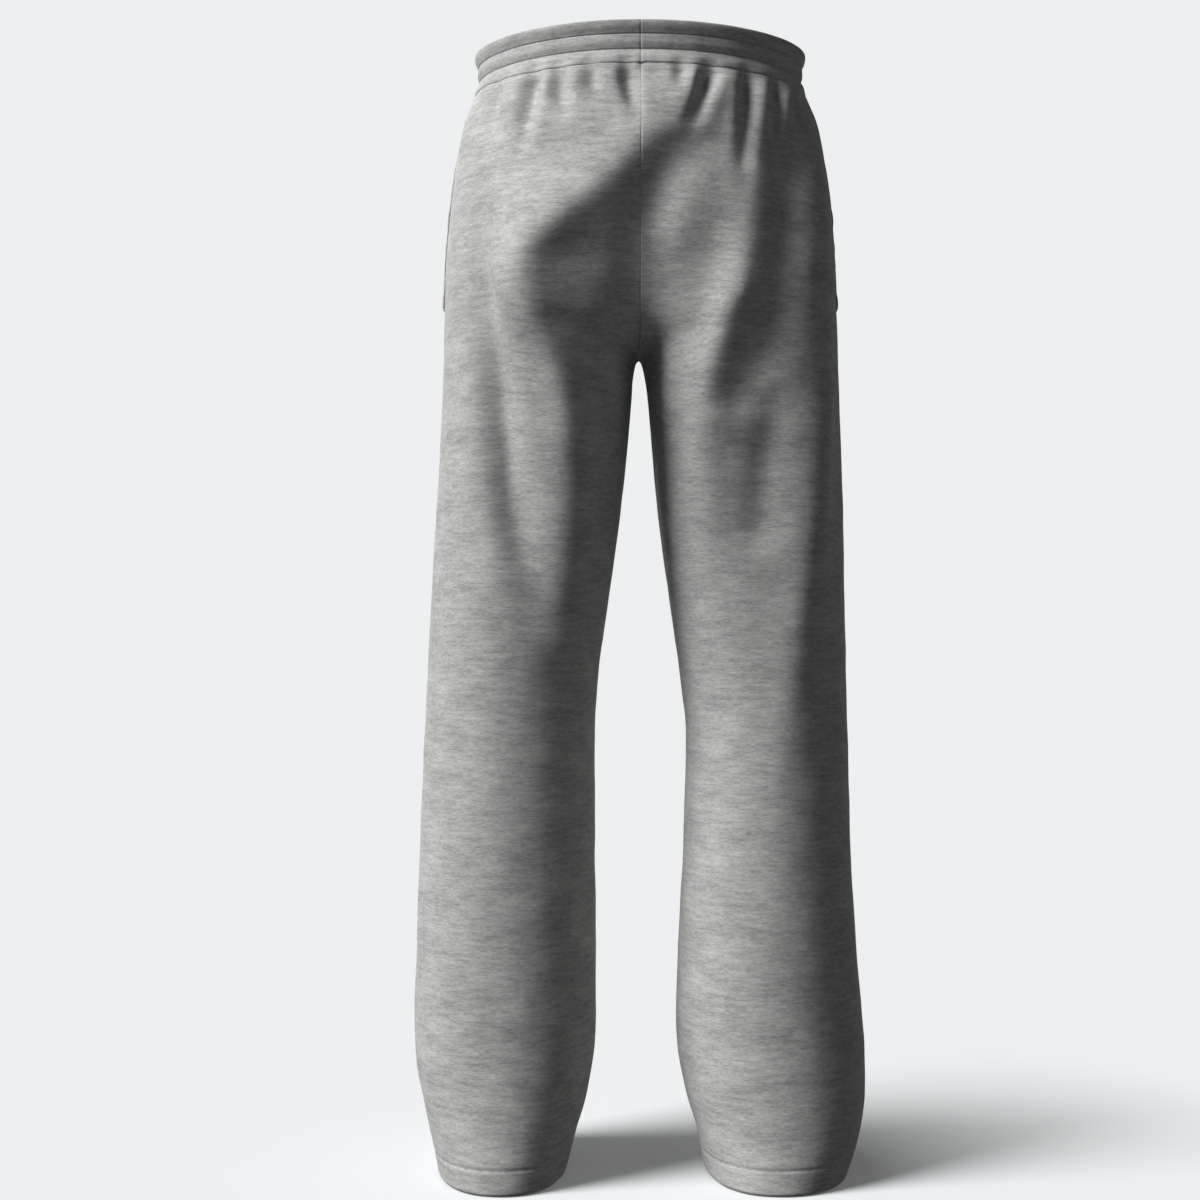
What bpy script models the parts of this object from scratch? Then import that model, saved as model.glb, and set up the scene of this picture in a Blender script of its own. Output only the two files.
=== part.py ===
"""Wide leg pants in light grey marl jersey: four leg panels, an elastic waistband, two side pocket bags.

The pants keep the filled-out, hollow shape that they have when worn. Units are metres, +Z is up, the
front faces -Y and the wearer's left is +X. The origin is the centre of the waist opening, half way up
the waistband. The tables give heights above the hems, which are moved down to the origin at the end.
"""

import math
from collections import namedtuple

import bmesh
import bpy
import numpy as np

# Cloth and seams
WALL = 0.0018  # one layer of jersey
HEM_WALL = 0.0034  # two layers, where the hem is turned up
HEM_DEPTH = 0.024
SEAM_GAP = 0.0003
BAG_GAP = 0.0006  # from the front panel to the pocket bag
BAG_WALL = 0.0014  # two thin layers of pocketing, pressed flat

# Main heights above the hems
ORIGIN_HEIGHT = 1.045
SIDE_TOP = 1.0255  # waistband seam at the sides
CROTCH_HEIGHT = 0.772
CROTCH_DEPTH = 0.012  # how far behind the origin the four panels meet
SIDE_AT_CROTCH = 0.800  # the side seam's height on the row that ends at the crotch

# Rows and columns of each panel's wall
COLUMNS = 22
BODY_ROWS = 14
LEG_ROWS = 12
CURVE_STEPS = 40
BODY_CROWDING = 1.1  # above 1, the rows lie closer under the waistband
LEG_CROWDING = 1.2  # above 1, the rows lie closer under the crotch
HEM_EDGE = 0.0005  # half the height over which the hem's wall thickens

# Side pockets
MOUTH_TOP = 0.985
MOUTH_LOW = 0.815
MOUTH_LIP = 0.0022  # how far the front edge of the mouth stands out
MOUTH_REACH = 0.012
MOUTH_FADE_TOP = 0.030  # over this height the lip grows from the mouth's top
MOUTH_FADE_LOW = 0.012
BAG_ROWS = slice(2, 18)  # the front panel's rows and columns that a pocket bag lies behind
BAG_COLUMNS = slice(COLUMNS + 1, COLUMNS + 11)

HALVES = ("left", "right")
FACES = ("back", "front")
OUTWARD_Y = {"back": 1.0, "front": -1.0}
LEVEL_REACH = 0.5  # how far towards its lobe a body row leaves the centre seam level
CROTCH_OPEN = 0.016  # how far a row opens sideways as it passes the crotch
CROTCH_OPEN_FADE = 0.3  # of the way to the hem
TUCK_START = 0.6  # of the way to the crotch: from here the rows turn under
ARCH_ROW = 1.01  # the row just under the crotch, where the legs part in a small arch
ARCH_CALM = 0.2  # how fast the arch may carry a row's lobe outwards, over the height below the crotch
SIDE_CALM = 0.015  # beside the side seam the folds die out

# Outline seen from behind: how far the side seam and the inseam are from the centre, on each leg.
Outline = namedtuple("Outline", "height out_left out_right in_left in_right")
OUTLINES = (
    Outline(1.0255, 0.1571, 0.1600, 0.0, 0.0),
    Outline(0.996, 0.1677, 0.1715, 0.0, 0.0),
    Outline(0.957, 0.1744, 0.1783, 0.0, 0.0),
    Outline(0.919, 0.1792, 0.1831, 0.0, 0.0),
    Outline(0.842, 0.1850, 0.1880, 0.0, 0.0),
    Outline(0.772, 0.1860, 0.1900, 0.0, 0.0),
    Outline(0.7705, 0.1860, 0.1900, 0.0026, 0.0028),
    Outline(0.765, 0.1862, 0.1904, 0.0046, 0.0052),
    Outline(0.727, 0.1879, 0.1920, 0.0072, 0.0091),
    Outline(0.6305, 0.1936, 0.1956, 0.0168, 0.0178),
    Outline(0.554, 0.1984, 0.1972, 0.0274, 0.0283),
    Outline(0.4575, 0.2033, 0.1994, 0.0399, 0.0418),
    Outline(0.419, 0.2052, 0.2004, 0.0418, 0.0456),
    Outline(0.304, 0.2100, 0.2033, 0.0418, 0.0428),
    Outline(0.208, 0.2129, 0.2090, 0.0408, 0.0380),
    Outline(0.150, 0.2148, 0.2138, 0.0408, 0.0360),
    Outline(0.112, 0.2138, 0.2167, 0.0428, 0.0380),
    Outline(0.073, 0.2071, 0.2167, 0.0495, 0.0456),
    Outline(0.035, 0.1984, 0.2104, 0.0601, 0.0567),
    Outline(0.0, 0.1908, 0.1989, 0.0697, 0.0639),
)

# Profile seen from the side: where the side seam, the inseam and the furthest front and back lie.
# The lobe is where each face stands out furthest, from the inner edge (0) to the side (1), and full
# is how square the corners of the section are.
Profile = namedtuple("Profile", "height side inseam front back lobe_front lobe_back full inner_full")
PROFILES = (
    Profile(1.035, 0.000, 0.012, 0.118, 0.118, 0.02, 0.02, 0.56, 0.56),
    Profile(0.960, 0.002, 0.012, 0.125, 0.131, 0.20, 0.25, 0.57, 0.57),
    Profile(0.900, 0.004, 0.012, 0.127, 0.138, 0.34, 0.40, 0.58, 0.60),
    Profile(0.840, 0.004, 0.012, 0.126, 0.137, 0.44, 0.48, 0.58, 0.66),
    Profile(0.765, 0.002, 0.012, 0.119, 0.126, 0.50, 0.52, 0.58, 0.80),
    Profile(0.680, 0.000, 0.008, 0.110, 0.112, 0.50, 0.52, 0.58, 0.76),
    Profile(0.550, -0.003, 0.000, 0.100, 0.096, 0.50, 0.50, 0.58, 0.68),
    Profile(0.420, -0.002, -0.002, 0.092, 0.087, 0.50, 0.50, 0.58, 0.62),
    Profile(0.300, 0.000, 0.000, 0.087, 0.088, 0.50, 0.50, 0.58, 0.595),
    Profile(0.150, 0.000, 0.000, 0.088, 0.091, 0.50, 0.49, 0.585, 0.595),
    Profile(0.070, 0.000, 0.000, 0.096, 0.096, 0.50, 0.48, 0.60, 0.605),
    Profile(0.000, 0.000, 0.000, 0.106, 0.105, 0.50, 0.48, 0.62, 0.63),
)

# The centre seams, from the waistband seam down and under to the crotch.
SeamPoint = namedtuple("SeamPoint", "height depth")
CENTRE_SEAMS = {
    "back": (
        SeamPoint(1.031, 0.118),
        SeamPoint(0.980, 0.126),
        SeamPoint(0.930, 0.132),
        SeamPoint(0.880, 0.132),
        SeamPoint(0.840, 0.127),
        SeamPoint(0.812, 0.117),
        SeamPoint(0.794, 0.101),
        SeamPoint(0.782, 0.078),
        SeamPoint(0.775, 0.046),
        SeamPoint(CROTCH_HEIGHT, CROTCH_DEPTH),
    ),
    "front": (
        SeamPoint(1.0135, -0.118),
        SeamPoint(0.950, -0.124),
        SeamPoint(0.890, -0.125),
        SeamPoint(0.845, -0.119),
        SeamPoint(0.814, -0.104),
        SeamPoint(0.792, -0.074),
        SeamPoint(0.778, -0.030),
        SeamPoint(CROTCH_HEIGHT, CROTCH_DEPTH),
    ),
}

# Gathers under the waistband: across is from the centre seam, + to the wearer's left, and drift is how
# much further along the lower end lies. Depth is how far the trough sinks, and width its half width.
Gather = namedtuple("Gather", "face across drift length depth width")
GATHERS = (
    Gather("back", 0.132, 0.006, 0.070, 0.0066, 0.0105),
    Gather("back", 0.097, 0.015, 0.100, 0.0100, 0.0120),
    Gather("back", 0.076, -0.008, 0.058, 0.0082, 0.0102),
    Gather("back", 0.047, -0.009, 0.042, 0.0064, 0.0095),
    Gather("back", 0.013, -0.010, 0.072, 0.0070, 0.0092),
    Gather("back", -0.036, -0.001, 0.034, 0.0056, 0.0086),
    Gather("back", -0.064, 0.024, 0.078, 0.0096, 0.0115),
    Gather("back", -0.099, 0.004, 0.125, 0.0076, 0.0112),
    Gather("back", -0.126, -0.004, 0.090, 0.0056, 0.0100),
    Gather("back", -0.145, -0.003, 0.050, 0.0044, 0.0086),
    Gather("front", 0.134, 0.004, 0.060, 0.0055, 0.0099),
    Gather("front", 0.107, 0.003, 0.048, 0.0065, 0.0106),
    Gather("front", 0.076, -0.006, 0.085, 0.0078, 0.0112),
    Gather("front", 0.046, 0.004, 0.040, 0.0055, 0.0092),
    Gather("front", 0.016, -0.003, 0.055, 0.0065, 0.0092),
    Gather("front", -0.018, -0.005, 0.046, 0.0058, 0.0092),
    Gather("front", -0.050, 0.006, 0.078, 0.0074, 0.0112),
    Gather("front", -0.083, -0.003, 0.042, 0.0058, 0.0099),
    Gather("front", -0.110, 0.008, 0.090, 0.0081, 0.0112),
    Gather("front", -0.139, -0.003, 0.052, 0.0048, 0.0092),
)
GATHER_DEEPEST = 0.016  # below the waistband seam
GATHER_AT_SEAM = 0.25  # of its depth, where the waistband holds a gather
GATHER_SHOULDER = 1.1  # how strongly the cloth stands up on each side of a trough
GATHER_FALL = 0.8

# Large folds: each runs through its stations, which give the place across, the height above the hems
# and the relief there. A ridge's relief is above zero, a trough's below.
Station = namedtuple("Station", "across height relief")
Fold = namedtuple("Fold", "face width stations")
FOLDS = (
    # Left leg, back: trough outside the long ridge, then the ridge from the waist over the seat and down.
    Fold("back", 0.022, (Station(0.146, 0.960, 0.0), Station(0.149, 0.880, -0.011),
                         Station(0.146, 0.820, -0.016), Station(0.136, 0.760, -0.017),
                         Station(0.127, 0.690, -0.017), Station(0.115, 0.617, -0.013),
                         Station(0.100, 0.560, -0.006), Station(0.088, 0.510, 0.0))),
    Fold("back", 0.040, (Station(-0.026, 1.022, 0.0), Station(-0.022, 1.004, 0.004),
                         Station(-0.015, 0.984, 0.007), Station(0.006, 0.955, 0.009),
                         Station(0.044, 0.912, 0.010), Station(0.074, 0.880, 0.007),
                         Station(0.096, 0.850, 0.0))),
    Fold("back", 0.023, (Station(0.070, 0.905, 0.0), Station(0.097, 0.868, 0.006),
                         Station(0.109, 0.840, 0.011), Station(0.098, 0.803, 0.013),
                         Station(0.079, 0.770, 0.013), Station(0.067, 0.720, 0.012),
                         Station(0.063, 0.620, 0.006), Station(0.066, 0.530, 0.0))),
    Fold("back", 0.044, (Station(0.056, 0.940, 0.0), Station(0.084, 0.895, 0.006),
                         Station(0.102, 0.847, 0.011), Station(0.093, 0.805, 0.008),
                         Station(0.080, 0.762, 0.003), Station(0.074, 0.720, 0.0))),
    # Seat: a valley below that ridge, down beside the centre seam, and a wide trough to its right.
    Fold("back", 0.024, (Station(-0.040, 0.968, 0.0), Station(-0.028, 0.948, -0.005),
                         Station(-0.014, 0.920, -0.008), Station(-0.005, 0.890, -0.009),
                         Station(-0.002, 0.850, -0.008), Station(-0.002, 0.815, -0.005),
                         Station(0.000, 0.785, 0.0))),
    Fold("back", 0.042, (Station(-0.060, 0.996, 0.0), Station(-0.078, 0.940, -0.008),
                         Station(-0.074, 0.890, -0.011), Station(-0.062, 0.850, -0.012),
                         Station(-0.050, 0.812, -0.009), Station(-0.041, 0.780, -0.004),
                         Station(-0.035, 0.750, 0.0))),
    # Right leg, back: ridge from the hip in to the crotch and down, the deep trough beside it, and a long
    # ridge near the side seam.
    Fold("back", 0.020, (Station(-0.094, 0.900, 0.0), Station(-0.092, 0.860, 0.002),
                         Station(-0.083, 0.820, 0.005), Station(-0.066, 0.760, 0.008),
                         Station(-0.058, 0.690, 0.006), Station(-0.062, 0.560, 0.0))),
    Fold("back", 0.036, (Station(-0.136, 1.010, 0.0), Station(-0.142, 0.935, -0.014),
                         Station(-0.140, 0.890, -0.017), Station(-0.136, 0.854, -0.017),
                         Station(-0.130, 0.818, -0.016), Station(-0.122, 0.781, -0.013),
                         Station(-0.109, 0.745, -0.008), Station(-0.092, 0.710, 0.0))),
    Fold("back", 0.019, (Station(-0.127, 0.745, 0.0), Station(-0.122, 0.715, -0.006),
                         Station(-0.116, 0.680, -0.006), Station(-0.112, 0.620, -0.005),
                         Station(-0.105, 0.575, 0.0))),
    Fold("back", 0.024, (Station(-0.171, 0.800, 0.0), Station(-0.168, 0.750, 0.004),
                         Station(-0.163, 0.700, 0.009), Station(-0.158, 0.620, 0.010),
                         Station(-0.152, 0.550, 0.008), Station(-0.144, 0.460, 0.004),
                         Station(-0.136, 0.380, 0.0))),
    # Front: soft folds that fan out from the crotch, and one long ridge down each leg.
    Fold("front", 0.018, (Station(0.024, 0.800, 0.0), Station(0.052, 0.828, -0.0045),
                          Station(0.088, 0.858, -0.0040), Station(0.120, 0.884, 0.0))),
    Fold("front", 0.020, (Station(-0.030, 0.782, 0.0), Station(-0.060, 0.800, -0.0040),
                          Station(-0.098, 0.812, -0.0030), Station(-0.132, 0.820, 0.0))),
    Fold("front", 0.018, (Station(0.120, 0.900, 0.0), Station(0.105, 0.800, 0.006),
                          Station(0.098, 0.680, 0.006), Station(0.104, 0.520, 0.0))),
    Fold("front", 0.018, (Station(-0.128, 0.880, 0.0), Station(-0.112, 0.770, 0.007),
                          Station(-0.102, 0.640, 0.005), Station(-0.106, 0.500, 0.0))),
    Fold("front", 0.014, (Station(0.150, 0.800, 0.0), Station(0.146, 0.700, -0.006),
                          Station(0.138, 0.590, -0.005), Station(0.134, 0.490, 0.0))),
    Fold("front", 0.014, (Station(-0.060, 0.730, 0.0), Station(-0.062, 0.660, -0.005),
                          Station(-0.070, 0.560, -0.004), Station(-0.078, 0.480, 0.0))),
)

# The waistband's section from its seam to its top edge: outer gives how far the outer face stands out
# from the panels' top edge. Three channels puff out between the seam, two sewn rows and the fold.
BandRow = namedtuple("BandRow", "rise outer wall")
BAND_ROWS = (
    BandRow(0.0000, 0.0002, 0.0026),
    BandRow(0.0060, -0.0012, 0.0036),
    BandRow(0.0125, -0.0044, 0.0024),
    BandRow(0.0190, -0.0028, 0.0036),
    BandRow(0.0260, -0.0031, 0.0024),
    BandRow(0.0325, -0.0007, 0.0036),
    BandRow(0.0365, 0.0000, 0.0034),
    BandRow(0.0385, -0.0014, 0.0014),
)
BAND_GATHER_FADE = 0.012  # up to this height the seam's gathers reach into the waistband
BAND_GATHER_KEPT = 0.10  # of them, above that

# Colours, linear
MARL_GREY = (0.36, 0.36, 0.355, 1.0)
BAND_GREY = (0.34, 0.34, 0.335, 1.0)
POCKETING_GREY = (0.30, 0.30, 0.30, 1.0)
CLOTH_ROUGHNESS = 0.9


def clear_scene():
    """Remove what the scene holds."""
    for thing in list(bpy.data.objects):
        bpy.data.objects.remove(thing, do_unlink=True)


def smooth_value(places, values, at):
    """Curve through the values, level at their highs and lows and never past them."""
    order = np.argsort(places)
    x = np.asarray(places, float)[order]
    y = np.asarray(values, float)[order]
    run = np.diff(x)
    slope = np.diff(y) / run
    tangent = np.zeros(len(x))
    tangent[0], tangent[-1] = slope[0], slope[-1]
    same_way = slope[:-1] * slope[1:] > 0
    before, after = slope[:-1][same_way], slope[1:][same_way]
    tangent[1:-1][same_way] = 2 * before * after / (before + after)
    at = np.clip(np.asarray(at, float), x[0], x[-1])
    left = np.clip(np.searchsorted(x, at) - 1, 0, len(run) - 1)
    t = (at - x[left]) / run[left]
    start = (1 + 2 * t) * (1 - t) ** 2 * y[left] + t * (1 - t) ** 2 * run[left] * tangent[left]
    end = t * t * (3 - 2 * t) * y[left + 1] + t * t * (t - 1) * run[left] * tangent[left + 1]
    return start + end


def from_table(table, column, height):
    """One column of a table of heights, read at a height."""
    return smooth_value([row.height for row in table], [getattr(row, column) for row in table], height)


def ease(t):
    """0 to 1, level at both ends."""
    t = np.clip(t, 0.0, 1.0)
    return t * t * (3 - 2 * t)


def centre_seam_point(face, travel):
    """A point on a centre seam, travel going from 0 at the waistband to 1 at the crotch."""
    points = np.array(CENTRE_SEAMS[face])
    lengths = np.append(0.0, np.cumsum(np.linalg.norm(np.diff(points, axis=0), axis=1)))
    lengths /= lengths[-1]
    height = smooth_value(lengths, points[:, 0], travel)
    depth = smooth_value(lengths, points[:, 1], travel)
    return float(height), float(depth)


def row_stations():
    """Where the rows lie: 0 at the waistband, 1 at the crotch, 2 at the hem."""
    body = [(k / BODY_ROWS) ** BODY_CROWDING for k in range(BODY_ROWS)]
    hem_top = (HEM_DEPTH + HEM_EDGE) / CROTCH_HEIGHT
    hem_low = (HEM_DEPTH - HEM_EDGE) / CROTCH_HEIGHT
    leg = [1 + (k / LEG_ROWS) ** LEG_CROWDING * (1 - hem_top) for k in range(LEG_ROWS + 1)]
    return body + leg[:1] + [ARCH_ROW] + leg[1:] + [2 - hem_low, 2.0]


def quarter(start, start_corner, end, end_corner, full):
    """A Bezier quarter turn in plan, which leaves and arrives towards its corners."""
    first = start + (start_corner - start) * full
    second = end + (end_corner - end) * full
    t = np.linspace(0, 1, CURVE_STEPS)[:, None]
    return ((1 - t) ** 3 * start + 3 * (1 - t) ** 2 * t * first
            + 3 * (1 - t) * t * t * second + t ** 3 * end)


def row_curve(half, face, station):
    """One row of a panel in plan, from the side seam to its inner edge, with its end heights."""
    outward = OUTWARD_Y[face]
    if station <= 1:
        edge_height, edge_depth = centre_seam_point(face, station)
        side_height = SIDE_TOP + (SIDE_AT_CROTCH - SIDE_TOP) * station
        tuck = float(ease((station - TUCK_START) / (1 - TUCK_START)))
        opening = CROTCH_OPEN
        edge = np.array([SEAM_GAP / 2, edge_depth])
        if station == 1:
            edge[1] += outward * SEAM_GAP / 2
    else:
        left = 2 - station
        edge_height = CROTCH_HEIGHT * left
        side_height = edge_height + (SIDE_AT_CROTCH - CROTCH_HEIGHT) * left * left
        tuck = 1.0
        opening = CROTCH_OPEN * float(ease(1 - (station - 1) / CROTCH_OPEN_FADE))
        across = float(from_table(OUTLINES, "in_" + half, edge_height))
        depth = float(from_table(PROFILES, "inseam", edge_height))
        edge = np.array([max(SEAM_GAP / 2, across), depth + outward * SEAM_GAP / 2])
    side = np.array([float(from_table(OUTLINES, "out_" + half, side_height)),
                     float(from_table(PROFILES, "side", side_height)) + outward * SEAM_GAP / 2])
    middle_height = (side_height + edge_height) / 2
    full = float(from_table(PROFILES, "full", middle_height))
    inner_full = float(from_table(PROFILES, "inner_full", middle_height))
    lobe = float(from_table(PROFILES, "lobe_" + face, middle_height))
    calm_edge = max(SEAM_GAP / 2, min(edge[0], ARCH_CALM * (CROTCH_HEIGHT - edge_height)))
    furthest = np.array([calm_edge + lobe * (side[0] - calm_edge),
                         outward * float(from_table(PROFILES, face, middle_height))])
    side_corner = np.array([side[0], furthest[1]])
    level_edge = np.array([edge[0], furthest[1]])
    level_corner = edge + np.array([LEVEL_REACH * (furthest[0] - edge[0]), 0.0])
    under_corner = level_edge + np.array([opening, 0.0])
    edge_corner = level_corner + (under_corner - level_corner) * tuck
    side_part = quarter(side, side_corner, furthest, side_corner, full)
    inner_part = quarter(furthest, level_edge, edge, edge_corner, inner_full)
    return np.vstack([side_part, inner_part[1:]]), side_height, edge_height


def even_along(curve, count):
    """Points evenly spaced along a curve, with their distances from its start."""
    lengths = np.append(0.0, np.cumsum(np.linalg.norm(np.diff(curve, axis=0), axis=1)))
    wanted = np.linspace(0, lengths[-1], count)
    points = np.stack([np.interp(wanted, lengths, curve[:, axis]) for axis in (0, 1)], axis=1)
    return points, wanted, lengths


def relief_at(half, face, height, along, across_of_curve, along_of_curve, top_height):
    """How far gathers, folds and the pocket's edge move one row's points out (+) or in (-)."""
    sign = 1.0 if half == "left" else -1.0
    total = along_of_curve[-1]

    def distance(across):
        """From each point to a place across, along the row, or past its inner edge."""
        across = np.asarray(across) * sign
        inside = np.interp(across, across_of_curve[::-1], along_of_curve[::-1])
        return along - np.where(across < 0, total - across, inside)

    relief = np.zeros(len(along))
    below = top_height - height
    for gather in GATHERS:
        if gather.face == face:
            run = np.clip(below / gather.length, 0, 1)
            spread = (distance(gather.across + gather.drift * run) / gather.width) ** 2
            bell = (1 - GATHER_SHOULDER * spread) * np.exp(-GATHER_FALL * spread)
            sink = GATHER_AT_SEAM + (1 - GATHER_AT_SEAM) * ease(below / GATHER_DEEPEST)
            relief -= gather.depth * sink * (1 - ease(run)) * bell
    for fold in FOLDS:
        if fold.face == face:
            heights = [station.height for station in fold.stations]
            across = smooth_value(heights, [station.across for station in fold.stations], height)
            lift = smooth_value(heights, [station.relief for station in fold.stations], height)
            lift = np.where((height > max(heights)) | (height < min(heights)), 0.0, lift)
            relief += lift * np.exp(-(distance(across) / fold.width) ** 2) * ease(along / SIDE_CALM)
    if face == "front":
        in_mouth = ease((MOUTH_TOP - height) / MOUTH_FADE_TOP)
        in_mouth = in_mouth * ease((height - MOUTH_LOW) / MOUTH_FADE_LOW)
        relief += MOUTH_LIP * in_mouth * np.exp(-(along / MOUTH_REACH) ** 2)
    return relief


def smooth_surface(half, stations, columns):
    """Both panels of one half before their folds, as rows of points in the +X half, with the relief.

    A row runs from the back's inner edge to the side seam, then from there to the front's inner edge.
    """
    points = np.zeros((len(stations), 2 * columns, 3))
    relief = np.zeros((len(stations), 2 * columns))
    tops = {face: CENTRE_SEAMS[face][0].height for face in FACES}
    for k, station in enumerate(stations):
        for face in FACES:
            curve, side_height, edge_height = row_curve(half, face, station)
            plan, along, along_curve = even_along(curve, columns)
            swing = (1 - np.cos(math.pi * along / along[-1])) / 2
            height = side_height + (edge_height - side_height) * swing
            top = SIDE_TOP + (tops[face] - SIDE_TOP) * swing
            row = np.column_stack([plan, height])
            lift = relief_at(half, face, height, along, curve[:, 0], along_curve, top)
            if face == "back":
                points[k, :columns] = row[::-1]
                relief[k, :columns] = lift[::-1]
            else:
                points[k, columns:] = row
                relief[k, columns:] = lift
    return points, relief


def outward_normals(points, stations):
    """Unit normals of one half's surface, the same on both sides of each seam."""
    columns = points.shape[1] // 2
    along = np.empty_like(points)
    along[:, 1:-1] = points[:, 2:] - points[:, :-2]
    along[:, 0] = points[:, 1] - points[:, 0]
    along[:, -1] = points[:, -1] - points[:, -2]
    down = np.gradient(points, axis=0)
    leg = np.array(stations) >= 1
    along[leg, 0] = points[leg, 1] - points[leg, -2]
    along[leg, -1] = along[leg, 0]
    normals = np.cross(along, down)
    normals /= np.linalg.norm(normals, axis=2, keepdims=True)
    seams = [(columns - 1, columns, np.ones(len(stations), bool)), (0, -1, leg)]
    for first, second, rows in seams:
        both = normals[rows, first] + normals[rows, second]
        normals[rows, first] = both
        normals[rows, second] = both
    body = ~leg
    for edge in (0, -1):
        flat = np.array(stations) < TUCK_START
        normals[flat, edge, 0] = 0.0
        normals[body, edge, 0] = np.minimum(normals[body, edge, 0], 0.0)
    return normals / np.linalg.norm(normals, axis=2, keepdims=True)


def panel_walls(half, stations, columns):
    """Outer and inner points of one half's two panels, with folds, in the +X half."""
    base, relief = smooth_surface(half, stations, columns)
    outer = base + outward_normals(base, stations) * relief[:, :, None]
    outer[0, :, 2] = base[0, :, 2]
    body = np.array(stations) <= 1
    for edge in (0, -1):
        outer[body, edge, 0] = SEAM_GAP / 2
    outer[:, :, 0] = np.maximum(outer[:, :, 0], SEAM_GAP / 2)
    normals = outward_normals(outer, stations)
    wall = np.where(outer[:, :, 2] < HEM_DEPTH, HEM_WALL, WALL)[:, :, None]
    inner = outer - normals * wall
    inner[:, :, 0] = np.maximum(inner[:, :, 0], SEAM_GAP / 2)
    inner[-1, :, 2] = outer[-1, :, 2]
    return outer, inner, normals


def place(points, half):
    """Points of the +X half moved to their own half, with heights from the origin."""
    placed = np.array(points, float)
    placed[..., 0] *= 1.0 if half == "left" else -1.0
    placed[..., 2] -= ORIGIN_HEIGHT
    return placed


def cloth_material(name, colour):
    """A plain cloth finish."""
    material = bpy.data.materials.new(name)
    material.use_nodes = True
    shader = material.node_tree.nodes["Principled BSDF"]
    shader.inputs["Base Color"].default_value = colour
    shader.inputs["Roughness"].default_value = CLOTH_ROUGHNESS
    shader.inputs["Metallic"].default_value = 0.0
    return material


def add_object(name, mesh_maker, colour, collection):
    """An object with its own mesh and material."""
    bm = bmesh.new()
    mesh_maker(bm)
    bmesh.ops.recalc_face_normals(bm, faces=bm.faces[:])
    mesh = bpy.data.meshes.new(name)
    bm.to_mesh(mesh)
    bm.free()
    mesh.shade_smooth()
    mesh.set_sharp_from_angle(angle=math.radians(40))
    thing = bpy.data.objects.new(name, mesh)
    mesh.materials.append(cloth_material(name + "_cloth", colour))
    collection.objects.link(thing)
    return thing


def add_grid(bm, points):
    """A grid of vertices, one for each point."""
    return [[bm.verts.new(point) for point in row] for row in points]


def wall_between(outer, inner):
    """A maker of the closed wall between an outer and an inner grid of points."""
    def make(bm):
        front = add_grid(bm, outer)
        back = add_grid(bm, inner)
        rows, columns = len(front), len(front[0])
        for k in range(rows - 1):
            for j in range(columns - 1):
                bm.faces.new((front[k][j], front[k + 1][j], front[k + 1][j + 1], front[k][j + 1]))
                bm.faces.new((back[k][j], back[k][j + 1], back[k + 1][j + 1], back[k + 1][j]))
        for k in range(rows - 1):
            for j in (0, columns - 1):
                bm.faces.new((front[k][j], back[k][j], back[k + 1][j], front[k + 1][j]))
        for j in range(columns - 1):
            for k in (0, rows - 1):
                bm.faces.new((front[k][j], front[k][j + 1], back[k][j + 1], back[k][j]))
    return make


def make_panels(collection):
    """The four leg panels."""
    stations = row_stations()
    walls = {}
    for half in HALVES:
        outer, inner, normals = panel_walls(half, stations, COLUMNS)
        walls[half] = (outer, inner, normals)
        for face, part in (("back", slice(0, COLUMNS)), ("front", slice(COLUMNS, 2 * COLUMNS))):
            maker = wall_between(place(outer[:, part], half), place(inner[:, part], half))
            add_object(face + "_" + half, maker, MARL_GREY, collection)
    return walls


def band_line(half):
    """The waistband seam of one half, from the centre back to the centre front.

    Gives its points before they are gathered, the level direction out of each, and the gathers' relief.
    """
    stations = row_stations()[:3]
    base, relief = smooth_surface(half, stations, COLUMNS)
    _, _, normals = panel_walls(half, stations, COLUMNS)
    keep = [j for j in range(2 * COLUMNS) if j != COLUMNS]
    facing = normals[0][keep] * np.array([1.0 if half == "left" else -1.0, 1.0, 0.0])
    facing /= np.linalg.norm(facing, axis=1, keepdims=True)
    return place(base[0][keep], half), facing, relief[0][keep]


def make_waistband(collection):
    """The waistband: one strip round the waist, whose ends meet at the centre back."""
    left, left_facing, left_relief = band_line("left")
    right, right_facing, right_relief = band_line("right")
    line = np.vstack([left[:-1], right[::-1]])
    facing = np.vstack([left_facing[:-1], right_facing[::-1]])
    relief = np.append(left_relief[:-1], right_relief[::-1])
    line[len(left) - 1, 0] = 0.0
    outer = np.zeros((len(BAND_ROWS), len(line), 3))
    inner = np.zeros_like(outer)
    for k, row in enumerate(BAND_ROWS):
        kept = 1 - (1 - BAND_GATHER_KEPT) * float(ease(row.rise / BAND_GATHER_FADE))
        stand = (row.outer + relief * kept)[:, None]
        rise = np.array([0.0, 0.0, SEAM_GAP + row.rise])
        outer[k] = line + facing * stand + rise
        inner[k] = line + facing * (stand - row.wall) + rise
    for end, sign in ((0, 1.0), (-1, -1.0)):
        outer[:, end, 0] = sign * SEAM_GAP / 2
        inner[:, end, 0] = sign * SEAM_GAP / 2
    add_object("waistband", wall_between(outer, inner), BAND_GREY, collection)


def make_pocket_bags(walls, collection):
    """Flat pocket bags behind the side seams, made from the front panels' inner points moved in."""
    for half in HALVES:
        _, inner, normals = walls[half]
        part = (BAG_ROWS, BAG_COLUMNS)
        near = inner[part] - normals[part] * BAG_GAP
        far = near - normals[part] * BAG_WALL
        add_object("pocket_bag_" + half, wall_between(place(near, half), place(far, half)),
                   POCKETING_GREY, collection)


def main():
    """Make the pants."""
    clear_scene()
    collection = bpy.data.collections.new("wide_leg_pants")
    bpy.context.scene.collection.children.link(collection)
    walls = make_panels(collection)
    make_waistband(collection)
    make_pocket_bags(walls, collection)


main()
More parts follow.
